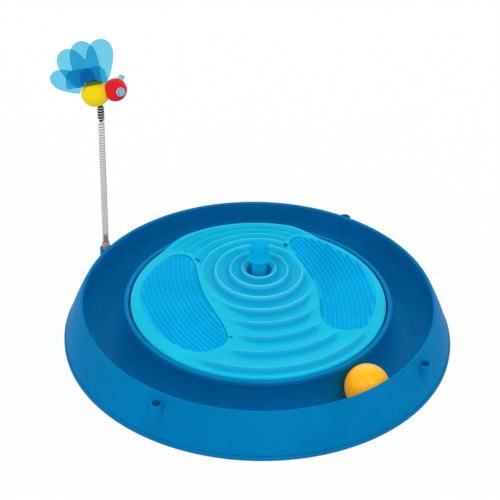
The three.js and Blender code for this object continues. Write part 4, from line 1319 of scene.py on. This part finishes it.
def seen_directly(tree):
    """1 for rays that show the stage itself: from the camera, off gloss or through film."""
    rays = tree.nodes.new("ShaderNodeLightPath").outputs
    seen = rays["Is Camera Ray"]
    for kind in ("Is Glossy Ray", "Is Transmission Ray"):
        either = tree.nodes.new("ShaderNodeMath")
        either.operation = "MAXIMUM"
        tree.links.new(seen, either.inputs[0])
        tree.links.new(rays[kind], either.inputs[1])
        seen = either.outputs["Value"]
    return seen


def show(tree, output, lit, shown, share):
    """Lights the part by one shader, and shows another by its share where the stage itself is seen."""
    factor = tree.nodes.new("ShaderNodeMath")
    factor.operation = "MULTIPLY"
    factor.inputs[1].default_value = share
    tree.links.new(seen_directly(tree), factor.inputs[0])
    mix = tree.nodes.new("ShaderNodeMixShader")
    tree.links.new(factor.outputs["Value"], mix.inputs["Fac"])
    tree.links.new(lit, mix.inputs[1])
    tree.links.new(shown, mix.inputs[2])
    tree.links.new(mix.outputs["Shader"], output.inputs["Surface"])


def floor():
    material = bpy.data.materials.new("stage_floor")
    material.use_nodes = True
    tree = material.node_tree
    tree.nodes.clear()
    output = tree.nodes.new("ShaderNodeOutputMaterial")
    shadowed = tree.nodes.new("ShaderNodeBsdfDiffuse")
    set_values(shadowed, {"Color": FLOOR_COLOUR})
    white = tree.nodes.new("ShaderNodeEmission")
    set_values(white, {"Strength": 1.0})
    show(tree, output, shadowed.outputs["BSDF"], white.outputs["Emission"], FLOOR_WHITE_SHARE)
    corners = [(-1, -1), (1, -1), (1, 1), (-1, 1)]
    points = [(x * FLOOR_REACH, y * FLOOR_REACH, -FLOOR_DROP) for x, y in corners]
    ground = new_object("stage_ground", points, [(0, 1, 2, 3)], material)


def world():
    """A pale room: brighter walls than ceiling for the light, and plain white where it is seen."""
    sky = bpy.data.worlds.new("studio")
    bpy.context.scene.world = sky
    sky.use_nodes = True
    tree = sky.node_tree
    tree.nodes.clear()
    output = tree.nodes.new("ShaderNodeOutputWorld")
    lit = tree.nodes.new("ShaderNodeBackground")
    set_values(lit, {"Color": SKY_COLOUR})
    height = tree.nodes.new("ShaderNodeSeparateXYZ")
    tree.links.new(tree.nodes.new("ShaderNodeTexCoord").outputs["Generated"], height.inputs["Vector"])
    strength = spread(tree, height.outputs["Z"], SKY_AT_HORIZON, SKY_OVERHEAD)
    tree.links.new(strength, lit.inputs["Strength"])
    white = tree.nodes.new("ShaderNodeBackground")
    set_values(white, {"Color": (1, 1, 1, 1), "Strength": 1.0})
    show(tree, output, lit.outputs["Background"], white.outputs["Background"], 1.0)


def softbox(name, direction, size, power):
    data = bpy.data.lights.new(name, "AREA")
    data.shape = "SQUARE"
    data.size = size
    data.energy = power
    lamp = in_scene(name, data)
    toward = Vector(direction).normalized()
    lamp.location = toward * SOFTBOX_DISTANCE
    lamp.rotation_mode = "QUATERNION"
    lamp.rotation_quaternion = toward.to_track_quat("Z", "Y")


# Assembly

camera()
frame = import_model()

base_plate()
track_wall()
centre_hub()
for number in range(1, 5):
    for node, finish in ((f"foot_pad_{number}", RUBBER), (f"hub_screw_{number}", STEEL)):
        frame["nodes"][node].data.materials.clear()
        frame["nodes"][node].data.materials.append(finish)

massage_disc()
bristle_pad("left")
bristle_pad("right")
centre_nub()

ball_half("ball_upper_half", 1)
ball_half("ball_lower_half", -1)

spring_foot()
spring()
spring_plug()
bee_body()
bee_head()
for side in WINGS:
    eye(side)
    wing(side)

floor()
world()
for name, facts in SOFTBOXES.items():
    softbox(name, *facts)
bpy.context.scene.view_settings.view_transform = "Standard"
